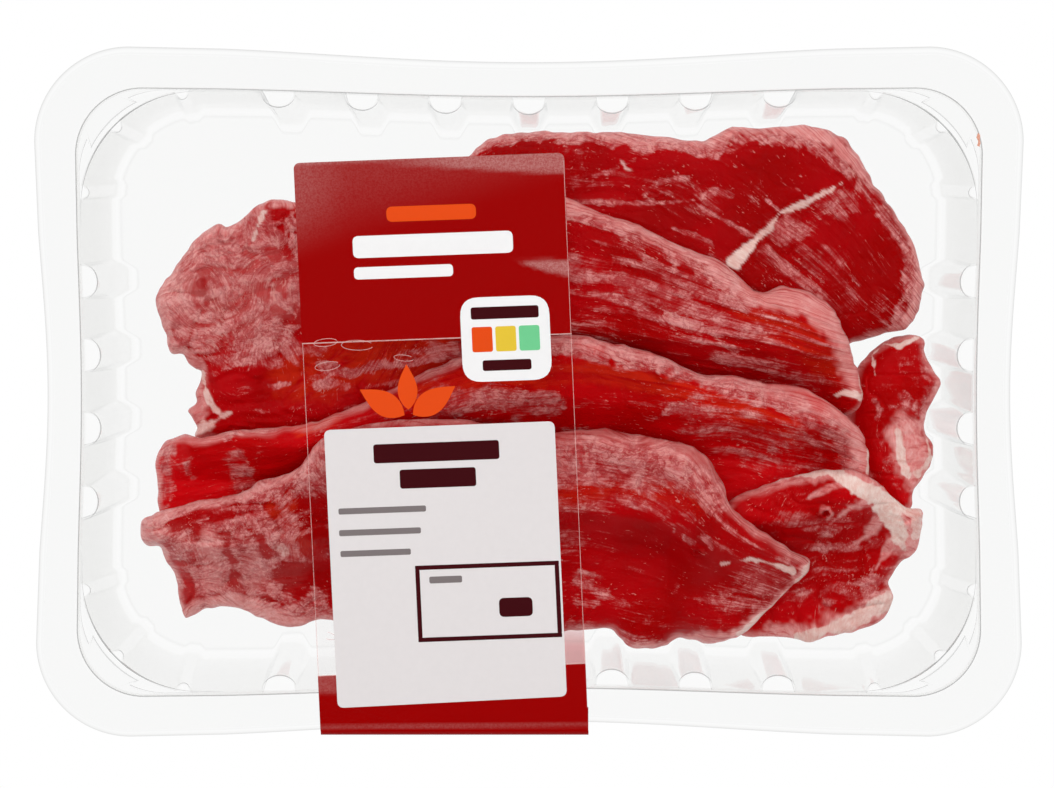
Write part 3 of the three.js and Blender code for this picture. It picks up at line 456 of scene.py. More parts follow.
MARKS["steak_front"] = [
    ("painted_sheen", 0.82, 40, [(170, 545), (215, 545), (262, 540)]),
    ("pale", 0.08, 36, [(190, 565), (235, 570), (270, 560)]),
    ("painted_sheen", 0.85, 30, [(215, 585), (262, 590), (300, 612)]),
    ("painted_sheen", 0.8, 22, [(255, 505), (300, 480), (320, 455)]),
    ("pale", 0.85, 5, [(140, 524), (160, 516), (185, 504), (242, 497), (260, 483), (290, 471),
      (312, 450), (330, 430)]),
    ("pale", 0.95, 9, [(140, 532), (158, 535)]),
    ("pale", 0.8, 7, [(160, 550), (172, 580), (180, 605), (186, 616)]),
    ("pale", 0.9, 8, [(186, 612), (205, 604), (230, 603), (262, 612), (300, 624)]),
    ("pale", 0.65, 10, [(209, 535), (212, 560), (215, 585)]),
    ("pale", 0.5, 9, [(250, 560), (256, 580)]),
    ("fat", 0.4, 4, [(282, 548), (286, 552)]),
    ("red", 0.75, 6, [(172, 524), (184, 520), (200, 532)]),
    ("red", 0.7, 5, [(214, 519), (230, 515)]),
    ("red", 0.7, 3.5, [(250, 530), (262, 540), (268, 556)]),
    ("red", 0.7, 3, [(206, 552), (214, 566), (212, 582)]),
    ("red", 0.65, 3, [(258, 585), (268, 598), (282, 604)]),
    ("red", 0.7, 4, [(268, 508), (275, 514)]),
    ("red", 0.85, 5, [(226, 550), (234, 564), (232, 580), (242, 596)]),
    ("red", 0.85, 4.5, [(178, 566), (188, 578), (192, 594)]),
    ("red", 0.9, 12, [(288, 572), (302, 590)]),
    ("warm", 0.7, 11, [(285, 530), (300, 545)]),
    ("warm", 0.7, 9, [(275, 515), (290, 505)]),
    ("painted_sheen", 0.85, 15, [(560, 452), (620, 452), (670, 462), (700, 482), (722, 500)]),
    ("painted_sheen", 0.75, 15, [(560, 478), (620, 474), (675, 486), (712, 500)]),
    ("pale", 0.5, 7, [(560, 440), (585, 434), (635, 440), (672, 447), (699, 460), (720, 484)]),
    ("warm", 0.6, 11, [(560, 497), (610, 484), (660, 492), (700, 500)]),
    ("painted_sheen", 0.35, 9, [(560, 505), (620, 496), (680, 508), (735, 525)]),
    ("red", 1, 42, [(620, 560), (660, 590), (650, 610)]),
    ("painted_sheen", 0.5, 22, [(725, 600), (760, 590), (780, 580)]),
    ("painted_sheen", 0.75, 4, [(750, 520), (756, 530)]),
    ("painted_sheen", 0.7, 2, [(684, 537), (692, 543)]),
    ("painted_sheen", 0.75, 1.8, [(704, 535), (707, 543), (712, 550)]),
    ("painted_sheen", 0.75, 1.6, [(662, 529), (674, 532)]),
    ("fat", 0.7, (0.6, 1.7), [(722, 565), (736, 561), (752, 559)]),
    ("fat", 0.75, (0.9, 2.2), [(750, 558), (772, 564), (795, 572)]),
    ("pale", 1, 6, [(811, 565), (794, 589), (766, 616), (734, 638)]),
    ("fat", 0.8, 3.2, [(811, 564), (794, 588), (768, 613), (740, 634)]),
    ("pale", 0.8, 6, [(600, 642), (640, 652), (690, 640), (735, 638)]),
    ("painted_sheen", 0.62, 10, [(580, 578), (604, 588)]),
    ("painted_sheen", 0.5, 5, [(578, 600), (594, 603)]),
    ("painted_sheen", 0.55, 8, [(570, 625), (590, 632), (640, 640)]),
]


def project(x, y, z):
    """Pixels of the photograph for points in millimetres."""
    sin, cos = math.sin(CAMERA_TILT), math.cos(CAMERA_TILT)
    dx, dy, dz = x - CAMERA_X, y - CAMERA_Y, z - CAMERA_Z
    depth = -dy * sin - dz * cos
    up = dy * cos - dz * sin
    return PRINCIPAL[0] + FOCAL_PX * dx / depth, PRINCIPAL[1] - FOCAL_PX * up / depth


def noise2(x, y, scale, seed):
    """Smooth noise from -1 to 1 whose features are about one scale wide."""
    table = np.random.RandomState(seed).uniform(-1, 1, (97, 97))
    gx, gy = x / scale, y / scale
    i, j = np.floor(gx).astype(int), np.floor(gy).astype(int)
    fx, fy = gx - i, gy - j
    fx, fy = fx * fx * (3 - 2 * fx), fy * fy * (3 - 2 * fy)
    a, b = table[j % 97, i % 97], table[j % 97, (i + 1) % 97]
    c, d = table[(j + 1) % 97, i % 97], table[(j + 1) % 97, (i + 1) % 97]
    return (a * (1 - fx) + b * fx) * (1 - fy) + (c * (1 - fx) + d * fx) * fy


def smooth(low, high, value):
    """A soft step from 0 below low to 1 above high."""
    t = np.clip((value - low) / (high - low), 0, 1)
    return t * t * (3 - 2 * t)


def closed_curve(outline, at):
    """Points of a closed centripetal Catmull-Rom curve at parameters counted in outline points."""
    p1 = np.array(outline, float)
    p0, p2, p3 = np.roll(p1, 1, 0), np.roll(p1, -1, 0), np.roll(p1, -2, 0)
    d0, d1, d2 = [np.linalg.norm(b - a, axis=1)[:, None] ** 0.5 for a, b in ((p0, p1), (p1, p2), (p2, p3))]
    m1 = ((p1 - p0) / d0 - (p2 - p0) / (d0 + d1) + (p2 - p1) / d1) * d1
    m2 = ((p2 - p1) / d1 - (p3 - p1) / (d1 + d2) + (p3 - p2) / d2) * d1
    at = np.asarray(at, float) % len(outline)
    k = np.floor(at).astype(int) % len(outline)
    t = (at - np.floor(at))[:, None]
    square = -3 * p1[k] + 3 * p2[k] - 2 * m1[k] - m2[k]
    cube = 2 * p1[k] - 2 * p2[k] + m1[k] + m2[k]
    return p1[k] + m1[k] * t + square * t ** 2 + cube * t ** 3


def along_curve(points, shares):
    """Points at shares of the length of a line."""
    steps = np.linalg.norm(np.diff(points, axis=0), axis=1)
    run = np.concatenate([[0], np.cumsum(steps)])
    return np.stack([np.interp(shares * run[-1], run, points[:, k]) for k in (0, 1)], 1)


def crowded(count, near):
    """Shares from 0 to 1, closer together towards both ends."""
    t = np.linspace(0, 1, count)
    return (1 - near) * t + near * (t * t * (3 - 2 * t))


def plan_grid(steak):
    """The steak's plan points: rows from its back edge to its front edge."""
    outline, (right_at, front_at, left_at) = steak["outline"], steak["turns"]
    count = len(outline)
    fine = np.linspace(0, 1, 1200)

    def side(start, end, shares):
        return along_curve(closed_curve(outline, start + (end - start) * fine), shares)

    def build(columns, rows):
        u, v = crowded(columns, 0.6), crowded(rows, 0.75)
        back, front = side(0, right_at, u), side(left_at, front_at, u)
        right, left = side(right_at, front_at, v), side(count, left_at, v)
        uu, vv = u[None, :, None], v[:, None, None]
        grid = (1 - vv) * back[None] + vv * front[None] + (1 - uu) * left[:, None] + uu * right[:, None]
        grid -= (1 - uu) * (1 - vv) * back[0] + uu * (1 - vv) * right[0]
        grid -= (1 - uu) * vv * front[0] + uu * vv * front[-1]
        return grid, u, v

    spans = np.ptp(np.array(outline, float), axis=0)
    aspect = (spans[1] / spans[0]) ** 2
    coarse, u0, v0 = build(41, 21)
    relax(coarse, u0, v0, aspect, 500)
    columns, rows = steak["grid"]
    edge, u, v = build(columns, rows)
    grid = edge.copy()
    for k in (0, 1):
        wide = np.stack([np.interp(u, u0, row) for row in coarse[:, :, k]])
        grid[:, :, k] = np.stack([np.interp(v, v0, wide[:, i]) for i in range(columns)], 1)
    for place in (np.s_[0, :], np.s_[-1, :], np.s_[:, 0], np.s_[:, -1]):
        grid[place] = edge[place]
    relax(grid, u, v, aspect, 260)
    return grid, u, v


def relax(grid, u, v, aspect, passes):
    """Moves inner points to where each coordinate is harmonic over the shares u and v."""
    before, after = 1 / (u[1:-1] - u[:-2]), 1 / (u[2:] - u[1:-1])
    behind, ahead = 1 / (v[1:-1] - v[:-2]), 1 / (v[2:] - v[1:-1])
    wide = (2 * aspect / (u[2:] - u[:-2]))[None, :, None]
    deep = (2 / (v[2:] - v[:-2]))[:, None, None]
    a, b = before[None, :, None], after[None, :, None]
    c, d = behind[:, None, None], ahead[:, None, None]
    for _ in range(passes):
        beside = a * grid[1:-1, :-2] + b * grid[1:-1, 2:]
        beyond = c * grid[:-2, 1:-1] + d * grid[2:, 1:-1]
        grid[1:-1, 1:-1] = (wide * beside + deep * beyond) / (wide * (a + b) + deep * (c + d))


def line_distance(points, px, py):
    """Distance to a line, and how far along it the nearest place lies."""
    best, found = np.full(px.shape, 1e9), np.zeros(px.shape)
    for k, ((ax, ay), (bx, by)) in enumerate(zip(points[:-1], points[1:])):
        dx, dy = bx - ax, by - ay
        share = np.clip(((px - ax) * dx + (py - ay) * dy) / (dx * dx + dy * dy), 0, 1)
        distance = np.hypot(px - ax - dx * share, py - ay - dy * share)
        found = np.where(distance < best, (k + share) / (len(points) - 1), found)
        best = np.minimum(best, distance)
    return best, found


def edge_distance(edge, x, y):
    """Distance in plan from points to a closed line."""
    return line_distance(np.concatenate([edge, edge[:1]]), x, y)[0]


def within(edge, x, y):
    """Which points lie inside a closed line."""
    found = np.zeros(x.shape, bool)
    for (ax, ay), (bx, by) in zip(edge, np.roll(edge, 1, 0)):
        if ay == by:
            continue
        found ^= ((ay > y) != (by > y)) & (x < (bx - ax) * (y - ay) / (by - ay) + ax)
    return found


def window(field, reach, combine):
    """Combines each cell of a square grid with its neighbours within reach."""
    padded = np.pad(field, reach, mode="edge")
    rows, columns = field.shape
    made = None
    for j in range(2 * reach + 1):
        for i in range(2 * reach + 1):
            part = padded[j:j + rows, i:i + columns]
            made = part.copy() if made is None else combine(made, part)
    return made


def sample(field, x, y):
    """The height field's value between its cells."""
    gx = np.clip(x + FIELD_X, 0, 2 * FIELD_X - 1.001)
    gy = np.clip(y + FIELD_Y, 0, 2 * FIELD_Y - 1.001)
    i, j = np.floor(gx).astype(int), np.floor(gy).astype(int)
    a, b = gx - i, gy - j
    low = field[j, i] * (1 - a) + field[j, i + 1] * a
    high = field[j + 1, i] * (1 - a) + field[j + 1, i + 1] * a
    return low * (1 - b) + high * b


def rounding(distance, radius):
    """A quarter circle's height, from 0 at an edge to 1 at the radius from it."""
    left = 1 - np.minimum(distance / radius, 1)
    return np.sqrt(1 - left * left)


def object_from(name, vertices, faces, materials, smooth_shade=True):
    """A new mesh object in the scene."""
    mesh = bpy.data.meshes.new(name)
    mesh.from_pydata([tuple(p) for p in vertices], [], faces)
    mesh.validate()
    for material in materials:
        mesh.materials.append(material)
    mesh.polygons.foreach_set("use_smooth", [smooth_shade] * len(mesh.polygons))
    made = bpy.data.objects.new(name, mesh)
    bpy.context.scene.collection.objects.link(made)
    return made


def point_values(made, name, values):
    """Keeps a value at each point of a mesh, for its material."""
    layer = made.data.attributes.new(name, "FLOAT", "POINT")
    layer.data.foreach_set("value", values)


def grid_faces(rows, columns, first=0, flip=False):
    """Quads between the neighbouring points of a grid."""
    index = first + np.arange(rows * columns).reshape(rows, columns)
    a, b = index[:-1, :-1].ravel(), index[:-1, 1:].ravel()
    c, d = index[1:, 1:].ravel(), index[1:, :-1].ravel()
    order = (a, b, c, d) if flip else (a, d, c, b)
    return np.stack(order, 1)


def paint(steak, kind, px, py, warp):
    """How strongly the marks of one kind cover each point, in the order of the list."""
    found = np.zeros(px.shape)
    for layer, strength, half, points in MARKS[steak["name"]]:
        clears = layer == "red" and kind == "painted_sheen"
        if layer != kind and not clears:
            continue
        distance, share = line_distance(points, px, py)
        if isinstance(half, tuple):
            half = half[0] + (half[1] - half[0]) * share
        soft = 1.2 + (0.25 if kind == "fat" else 0.8) * half
        distance = distance + warp * np.minimum(1 + 0.12 * half, 3.5)
        cover = strength * (1 - smooth(half - soft / 2, half + soft / 2, distance))
        found = found * (1 - cover) if clears else np.maximum(found, cover)
    return found


def knobs(steak, x, y):
    """Small curled knobs that stand up from a steak."""
    height = 0
    for name, cx, cy, radius in KNOBS:
        if name == steak["name"]:
            away = np.hypot(x - cx, (y - cy) * 1.2) / radius
            height = height + 2.2 * np.exp(-(((away - 0.8) / 0.35) ** 2))
            height = height - 0.5 * np.exp(-((away / 0.45) ** 2))
    return height


def domed(bed, distance, thickness):
    """The top of a steak over its bed, rounded towards its edge."""
    return bed + (EDGE_SHARE + (1 - EDGE_SHARE) * rounding(distance, TOP_ROUND)) * thickness


def steak_relief(steak, x, y, s, n, lobe, seed):
    """Height over the dome from lumps, fibres and creases, the fibres' crests, and their bend."""
    lumps = (0.5 + 0.4 * lobe) * noise2(x, y, 17, seed) + (0.35 + 0.2 * lobe) * noise2(x, y, 7, seed + 1)
    bend = 2.5 * noise2(x, y, 14, seed + 10) - steak.get("arc", 0) * np.maximum(x - ARC_FROM, 0) ** 2
    crest = 0.6 * noise2(s * 0.12, n + bend, 2.8, seed + 2) + 0.4 * noise2(s * 0.2, n + bend, 1.4, seed + 3)
    wide = x + 3 * noise2(x, y, 10, seed + 11)
    crease = np.exp(-((noise2(wide, y * 1.4, 8, seed + 12) / 0.11) ** 2))
    crease *= steak["creases"] * (lobe if lobe.any() else 1)
    crest = crest - 0.8 * crease
    fibres = steak["ridges"] * (crest + 0.8 * crease) - 0.8 * crease + knobs(steak, x, y)
    grain = 0.10 * noise2(x, y, 1.6, seed + 4)
    return lumps + fibres + grain, crest, bend


def closed_sheet(x, y, top, under):
    """Vertices and faces of two grids that share their edge, and which points the lower one adds."""
    rows, columns = x.shape
    rim = np.zeros((rows, columns), bool)
    rim[[0, -1], :] = rim[:, [0, -1]] = True
    free = np.flatnonzero(~rim.ravel())
    index = np.arange(rows * columns)
    index[free] = rows * columns + np.arange(len(free))
    faces = np.concatenate([grid_faces(rows, columns), index[grid_faces(rows, columns, flip=True)]])
    points, lower = [np.stack([x, y, z], 2).reshape(-1, 3) for z in (top, under)]
    return np.concatenate([points, lower[free]]), faces, free


def paint_steak(made, steak, vertices, distance, seed):
    """Lays the marks on a steak's points, and a pale rim along its edge: a painted highlight where light
    catches the rounded edge and shines through it.
    """
    px, py = project(*vertices.T)
    warp = 1.7 * noise2(px, py, 12, seed + 7) + 1.2 * noise2(px, py, 4.5, seed + 8)
    rim = 1 - smooth(0.3, 2.4, distance + 0.8 * noise2(vertices[:, 0], vertices[:, 1], 5, seed + 9))
    for kind in ("painted_sheen", "warm", "pale", "fat"):
        values = paint(steak, kind, px, py, warp)
        point_values(made, kind, np.maximum(values, 0.65 * rim) if kind == "pale" else values)


def make_steak(steak, pile, seed, material):
    """One steak draped over the pile, and the pile with it."""
    plan, u, v = plan_grid(steak)
    x, y = plan[:, :, 0], plan[:, :, 1]
    outline, thickness = steak["outline"], steak["thickness"]
    edge = closed_curve(outline, np.linspace(0, len(outline), 320, endpoint=False))
    gx, gy = np.meshgrid(np.arange(-FIELD_X, FIELD_X + 1.0), np.arange(-FIELD_Y, FIELD_Y + 1.0))
    inside = within(edge, gx, gy)
    bed = window(np.where(inside, pile, FLOOR - LAYER_GAP), DRAPE, np.maximum)
    bed = window(bed, DRAPE, np.add) / (2 * DRAPE + 1) ** 2 + LAYER_GAP

    distance = edge_distance(edge, x, y)
    distance[[0, -1], :] = distance[:, [0, -1]] = 0
    lengths = np.ptp(np.array(outline, float), axis=0)
    s, n = u[None, :] * lengths[0] + 0 * x, v[:, None] * lengths[1] + 0 * y
    lobe = 0 * x if steak["smooth_from"] is None else 1 - smooth(*steak["smooth_from"], x)
    relief, crest, bend = steak_relief(steak, x, y, s, n, lobe, seed)
    base = sample(bed, x, y)
    top = domed(base, distance, thickness) + relief * smooth(0, 4, distance)
    under = base + EDGE_SHARE * thickness * (1 - rounding(distance, UNDER_ROUND))
    ragged = RAGGED * (1 - smooth(0, 6, distance))
    x = x + ragged * noise2(x, y, 2.3, seed + 5)
    y = y + ragged * noise2(x, y, 2.3, seed + 6)
    vertices, faces, free = closed_sheet(x, y, top, under)
    made = object_from(steak["name"] + "_meat", vertices * MM, faces.tolist(), [material])

    def at_points(grid):
        flat = grid.reshape(-1, *grid.shape[2:])
        return np.concatenate([flat, flat[free]])

    paint_steak(made, steak, vertices, at_points(distance), seed)
    # Painted light: the steak's red is scaled to make up for the shade it lies in.
    point_values(made, "tone", np.full(len(vertices), steak["tone"]))
    point_values(made, "crest", at_points(crest) * steak["ridges"] * 2)
    swirl = steak["swirl"] * lobe
    along = s * (1 + 2 * lobe) + swirl * 9 * noise2(x, y, 12, seed + 14)
    across = (n + bend) * (1 - 0.5 * lobe) + swirl * 5 * noise2(x, y, 10, seed + 15)
    layer = made.data.attributes.new("fibre", "FLOAT_VECTOR", "POINT")
    layer.data.foreach_set("vector", at_points(np.stack([along, across, 0 * s], 2)).ravel())

    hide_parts(steak["name"])
    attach(made, "root")
    cell_top = domed(bed, edge_distance(edge, gx, gy), thickness)
    return np.where(inside, np.maximum(pile, cell_top), pile)


class Graph:
    """Short calls for building the nodes of a material or a world."""

    def __init__(self, owner, output="OutputMaterial"):
        owner.use_nodes = True
        self.owner = owner
        self.nodes, self.links = owner.node_tree.nodes, owner.node_tree.links
        self.nodes.clear()
        self.surface = self.nodes.new("ShaderNode" + output).inputs["Surface"]

    def put(self, socket, value):
        if isinstance(value, bpy.types.NodeSocket):
            self.links.new(value, socket)
        else:
            socket.default_value = value

    def node(self, kind, inputs, output=0, **settings):
        """One output of a new node with these inputs and settings."""
        made = self.nodes.new("ShaderNode" + kind)
        for name, value in settings.items():
            setattr(made, name, value)
        for name, value in inputs.items():
            self.put(made.inputs[name], value)
        return made.outputs[output]

    def attribute(self, name, output="Fac"):
        return self.node("Attribute", {}, output, attribute_name=name)

    def math(self, operation, *values):
        return self.node("Math", dict(enumerate(values)), operation=operation)

    def times(self, a, b, start=None):
        """a times b, and plus start where one is given."""
        return self.math("MULTIPLY", a, b) if start is None else self.math("MULTIPLY_ADD", a, b, start)

    def weighted(self, patterns, **weights):
        """The sum of the named patterns, each times its weight."""
        total = 0.0
        for name, weight in weights.items():
            total = self.times(patterns[name], weight, total)
        return total

    def scaled(self, vector, scale):
        return self.node("Mapping", {"Vector": vector, "Scale": scale})

    def place(self):
        """The object's own coordinates in millimetres."""
        return self.scaled(self.node("TexCoord", {}, "Object"), (1000, 1000, 1000))

    def noise(self, vector, scale, detail=3.0, rough=0.55, warp=0.0):
        pattern = {"Scale": scale, "Detail": detail, "Roughness": rough, "Distortion": warp}
        return self.node("TexNoise", {"Vector": vector, **pattern}, "Fac")

    def ramp(self, value, low, high):
        """A soft step from 0 at low to 1 at high."""
        inputs = {"Value": value, "From Min": low, "From Max": high}
        return self.node("MapRange", inputs, interpolation_type="SMOOTHSTEP")

    def mix(self, factor, a, b):
        return self.node("Mix", {"Factor": factor, 6: a, 7: b}, 2, data_type="RGBA")

    def solid(self, colour, roughness, specular, **more):
        look = {"Base Color": colour, "Roughness": roughness, "Specular IOR Level": specular}
        return self.node("BsdfPrincipled", {**look, **more})

    def mix_shaders(self, share, first, second):
        return self.node("MixShader", {0: share, 1: first, 2: second})

    def finish(self, shader):
        self.links.new(shader, self.surface)
        return self.owner


def new_material(name):
    """The graph of a new material."""
    return Graph(bpy.data.materials.new(name))


def flesh_colour(g, patterns):
    """The deep red under the painted sheen, with warmer streaks, scaled by the steak's tone, which is painted
    light: it lifts the red of steaks that lie in shade.
    """
    deep = g.mix(g.ramp(patterns["region"], 0.35, 0.65), DARK_RED, DEEP_RED)
    deep = g.mix(g.times(g.attribute("warm"), g.ramp(patterns["streak"], 0.3, 0.6)), deep, WARM_RED)
    return g.node("VectorMath", {0: deep, "Scale": g.attribute("tone")}, operation="SCALE")


def painted_sheen_colour(g, patterns, tone, wrinkle):
    """The painted sheen's dull pink over the red, mottled, with darker red painted into its wrinkles as
    crease shade.
    """
    mottle = g.ramp(patterns["mottle"], 0.41, 0.52)
    sheen_tint = g.mix(g.times(mottle, 0.7, 0.3), MOTTLE_RED, g.mix(tone, SHEEN_DARK, SHEEN_LIGHT))
    return g.mix(g.times(wrinkle, 0.45), sheen_tint, CREASE_SHADE_RED)


def painted_sheen_cover(g, patterns):
    """How much the painted sheen covers the red: the marks, broken up by the fibres and blotches, and more of
    it painted on the fibres' crests as highlight.
    """
    broken = g.weighted(patterns, streak=0.24, fine=0.16, lines=0.20, blotch=0.40)
    amount = g.times(g.attribute("crest"), 0.8, g.math("SUBTRACT", g.attribute("painted_sheen"), 0.5))
    return g.times(g.ramp(g.times(amount, 0.34, broken), 0.40, 0.62), 0.88)


def glint_cover(g, patterns):
    """Where small painted glints lie, pale flecks standing in for the wet meat's sparkle, more of them in the
    painted sheen.
    """
    chance = g.times(g.attribute("painted_sheen"), 0.13, patterns["glint_fleck"])
    chance = g.times(g.math("SUBTRACT", patterns["blotch"], 0.5), 0.55, chance)
    return g.times(g.ramp(chance, 0.68, 0.80), 0.6)


def meat_material():
    """Wet red meat with its fibres, under painted sheen, painted glints, pale edges painted as highlights and
    fat kept at its points.
    """
    g = new_material("raw_beef")
    fibre, place = g.attribute("fibre", "Vector"), g.place()
    patterns = {name: g.noise(place, *look) for name, look in PLACE_PATTERNS.items()}
    for name, (stretch, *look) in FIBRE_PATTERNS.items():
        patterns[name] = g.noise(g.scaled(fibre, stretch), 1.0, *look)
    fold = g.math("ABSOLUTE", g.math("SUBTRACT", patterns["fold"], 0.5))
    wrinkle = g.math("SUBTRACT", 1.0, g.ramp(fold, 0.0, 0.06))
    tone = g.ramp(g.weighted(patterns, fine=0.4, blotch=0.4, lines=0.2), 0.36, 0.64)

    sheen_tint = painted_sheen_colour(g, patterns, tone, wrinkle)
    # Painted sheen over the red, then painted glints.
    colour = g.mix(painted_sheen_cover(g, patterns), flesh_colour(g, patterns), sheen_tint)
    colour = g.mix(glint_cover(g, patterns), colour, GLINT_PINK)
    # Pale edges: painted highlight where light catches the rounded rims and shines through them.
    edge = g.times(g.attribute("pale"), g.ramp(patterns["lines"], 0.15, 0.50))
    colour = g.mix(g.times(edge, 0.9), colour, g.mix(tone, PALE_DARK, PALE_LIGHT))
    fat = g.attribute("fat")
    cover = g.times(fat, g.ramp(g.times(fat, 0.6, patterns["fine"]), 0.3, 0.9))
    colour = g.mix(cover, colour, g.mix(tone, FAT_DARK, FAT_LIGHT))

    height = g.weighted(patterns, fine=0.3, blotch=1.5, streak=0.7)
    height = g.times(g.times(wrinkle, g.attribute("painted_sheen")), -0.5, height)
    bump = g.node("Bump", {"Distance": 0.0006, "Strength": 0.6, "Height": height})
    return g.finish(g.solid(colour, g.times(patterns["fine"], 0.25, 0.08), 0.05, Normal=bump))


def clear_material(name, tint, wall_tint, edge_tint, gloss, roughness, line=None):
    """Clear sheet: light goes straight through, less of it at grazing angles, where gloss takes over."""
    g = new_material(name)
    facing = g.node("LayerWeight", {"Blend": 0.5}, "Facing")
    colour = g.mix(g.ramp(facing, 0.3, 0.8), tint, wall_tint)
    colour = g.mix(g.math("POWER", facing, 30.0), colour, edge_tint)
    # Colour kept at the points: on the tray, painted dark edge lines and, below 0, painted highlights; on the
    # band's window, the meat's red.
    if line:
        drawn = g.attribute("line")
        colour = g.mix(g.math("MAXIMUM", drawn, 0.0), colour, line)
        colour = g.mix(g.math("MAXIMUM", g.times(drawn, -0.8), 0.0), colour, WHITE)
    through = g.node("BsdfTransparent", {"Color": colour})
    shine = g.node("BsdfGlossy", {"Color": WHITE, "Roughness": roughness})
    share = g.times(g.math("POWER", facing, 5.0), gloss)
    return g.finish(g.mix_shaders(share, through, shine))


def print_material(name, colour, roughness, gloss=0.12, shine=None):
    """Print or paper with a faint grain, and dull reflections where the mesh keeps them."""
    g = new_material(name)
    place = g.place()
    light = tuple(min(1.0, c * 1.04) for c in colour[:3]) + (1,)
    mixed = g.mix(g.noise(place, 0.6, 2, 0.5), colour, light)
    if shine:
        grain = g.times(g.ramp(g.noise(place, 2.2, 2, 0.7), 0.3, 0.7), 0.8, 0.6)
        mixed = g.mix(g.times(g.attribute("shine"), grain), mixed, shine)
    return g.finish(g.solid(mixed, roughness, gloss))


def seam_highlight_material(name, colour, share):
    """A thin pale line in clear film, a painted highlight."""
    g = new_material(name)
    through, body = g.node("BsdfTransparent", {}), g.node("BsdfDiffuse", {"Color": colour})
    cover = g.times(g.ramp(g.noise(g.place(), 0.3, 3, 0.6), 0.0, 0.6), share)
    return g.finish(g.mix_shaders(cover, through, body))


def bow(depth, along, half):
    """How far a side bows in along its length."""
    return depth * 0.5 * (1 + np.cos(np.pi * np.minimum(np.abs(along), half) / half))


def turned(x, y, quarters):
    """Points turned by quarter turns about the middle."""
    return np.stack([(x, y), (-y, x), (-x, -y), (y, -x)][quarters], 1)


def between(pair, share):
    """The value at a share of the way from the pair's first to its second."""
    return pair[0] * (1 - share) + pair[1] * share


def blend_outline(low, high, share):
    return {key: between((low[key], high[key]), share) for key in low}


def shrunk(outline, inset):
    return dict(outline, **{key: outline[key] - inset for key in ("half_x", "half_y", "radius")})


def flute_profile(offset, share):
    """How far a flute stands in, from 0 to 1, at an offset from -1 to 1 across it."""
    wide = np.abs(offset)
    base = 1 - smooth(0.40, 1.0, wide)
    top = np.sqrt(np.clip(1 - wide ** 2, 0, 1))
    return base * (1 - share) + top * share


def corner_profile(half, share):
    """How far the flutes of a corner stand in at its angles."""
    near = np.min([np.abs(CORNER_ANGLES - c) for c in CORNER_FLUTES], axis=0) / half
    return np.where(near < 1, flute_profile(np.minimum(near, 1), share), 0)


def tray_ring(outline, share, stand):
    """One closed anticlockwise ring. Share runs from the base (0) to the flutes' tops (1)."""
    half, depth = between(FLUTE_HALF, share), between(FLUTE_DEPTH, share) * stand
    dent = between(CORNER_DENT, share) * stand
    radius = outline["radius"] - dent * corner_profile(between(CORNER_DENT_HALF, share), share)
    turn = np.radians(CORNER_ANGLES)
    parts = []
    for quarter in range(4):
        here, there = ("x", "y") if quarter % 2 == 0 else ("y", "x")
        reach, run = outline["half_" + here], outline["half_" + there] - outline["radius"]
        count, pitch = SHORT_FLUTES if here == "x" else LONG_FLUTES
        middle = (count - 1) / 2
        along, standing = [], []
        for i in range(count + 1):
            along.extend((i - middle - 0.5) * pitch + step for step in GAP_STEPS)
            standing.extend([0.0] * len(GAP_STEPS))
            if i < count:
                along.extend((i - middle) * pitch + FLUTE_OFFSETS * half)
                standing.extend(flute_profile(FLUTE_OFFSETS, share))
        along, standing = np.array(along), np.array(standing)
        out = reach - bow(outline["bow_" + here], along, run) - standing * depth
        parts.append(turned(out, along, quarter))
        corner_x, corner_y = reach - outline["radius"] + radius * np.cos(turn), run + radius * np.sin(turn)
        parts.append(turned(corner_x, corner_y, quarter))
    return np.concatenate(parts)


def offset_ring(points, distance):
    """A closed ring moved outwards by a distance."""
    before, after = np.roll(points, 1, 0), np.roll(points, -1, 0)
    first, second = points - before, after - points
    first /= np.maximum(np.linalg.norm(first, axis=1)[:, None], 1e-6)
    second /= np.maximum(np.linalg.norm(second, axis=1)[:, None], 1e-6)
    normal = np.stack([first[:, 1] + second[:, 1], -first[:, 0] - second[:, 0]], 1)
    square = np.maximum((normal ** 2).sum(1) / 2, 0.6)
    return points + normal * (distance / square)[:, None]


def tray_marks():
    """Round a ring: how far a flute stands, the step of the corner ledge, and how much it is a long side."""
    low, high = LEDGE_STEP
    stepped = smooth(low, low + 2, CORNER_ANGLES) * (1 - smooth(high, high + 2, CORNER_ANGLES))
    turn = smooth(10, 80, CORNER_ANGLES)
    gap = [0.0] * len(GAP_STEPS)
    stand, step, long_side = [], [], []
    for quarter in range(4):
        upright = quarter % 2 == 0
        count = (SHORT_FLUTES if upright else LONG_FLUTES)[0]
        side = (gap + list(flute_profile(FLUTE_OFFSETS, 1))) * count + gap
        stand += side + list(corner_profile(CORNER_DENT_HALF[1], 1))
        step += [0.0] * len(side) + list(stepped)
        long_side += [float(quarter % 2)] * len(side) + list(turn if upright else 1 - turn)
    return np.array(stand), np.array(step), np.array(long_side)


def tray_wall(stand, long_side):
    """The inside from the base to the flutes' tops; negative edge lines lighten the sheet as painted
    highlights, more on the long sides and the flutes.
    """
    flute = smooth(0.2, 0.5, stand)
    light = 0.12 + 0.48 * long_side
    rings = []
    for angle, line, share in FOOT_RINGS:
        a = math.radians(angle)
        ring = tray_ring(shrunk(BASE, FOOT * (1 - math.sin(a))), 0, 1)
        rings.append((ring, WALL + FOOT * (1 - math.cos(a)), line - light * share))
    low = WALL + FOOT
    for share in np.linspace(0.08, 1, 12):
        ring = tray_ring(blend_outline(BASE, WALL_TOP, share), share, 1)
        lighter = 0.3 * (1 - smooth(0.0, 0.6, share)) + light + 0.45 * flute
        rings.append((ring, low + (FLUTE_TOP - 0.4 - low) * share, -np.minimum(lighter, 0.95)))
    for level, rise, line in FLUTE_RINGS:
        rings.append((tray_ring(WALL_TOP, 1, level), FLUTE_TOP + rise, line * flute))
    return rings


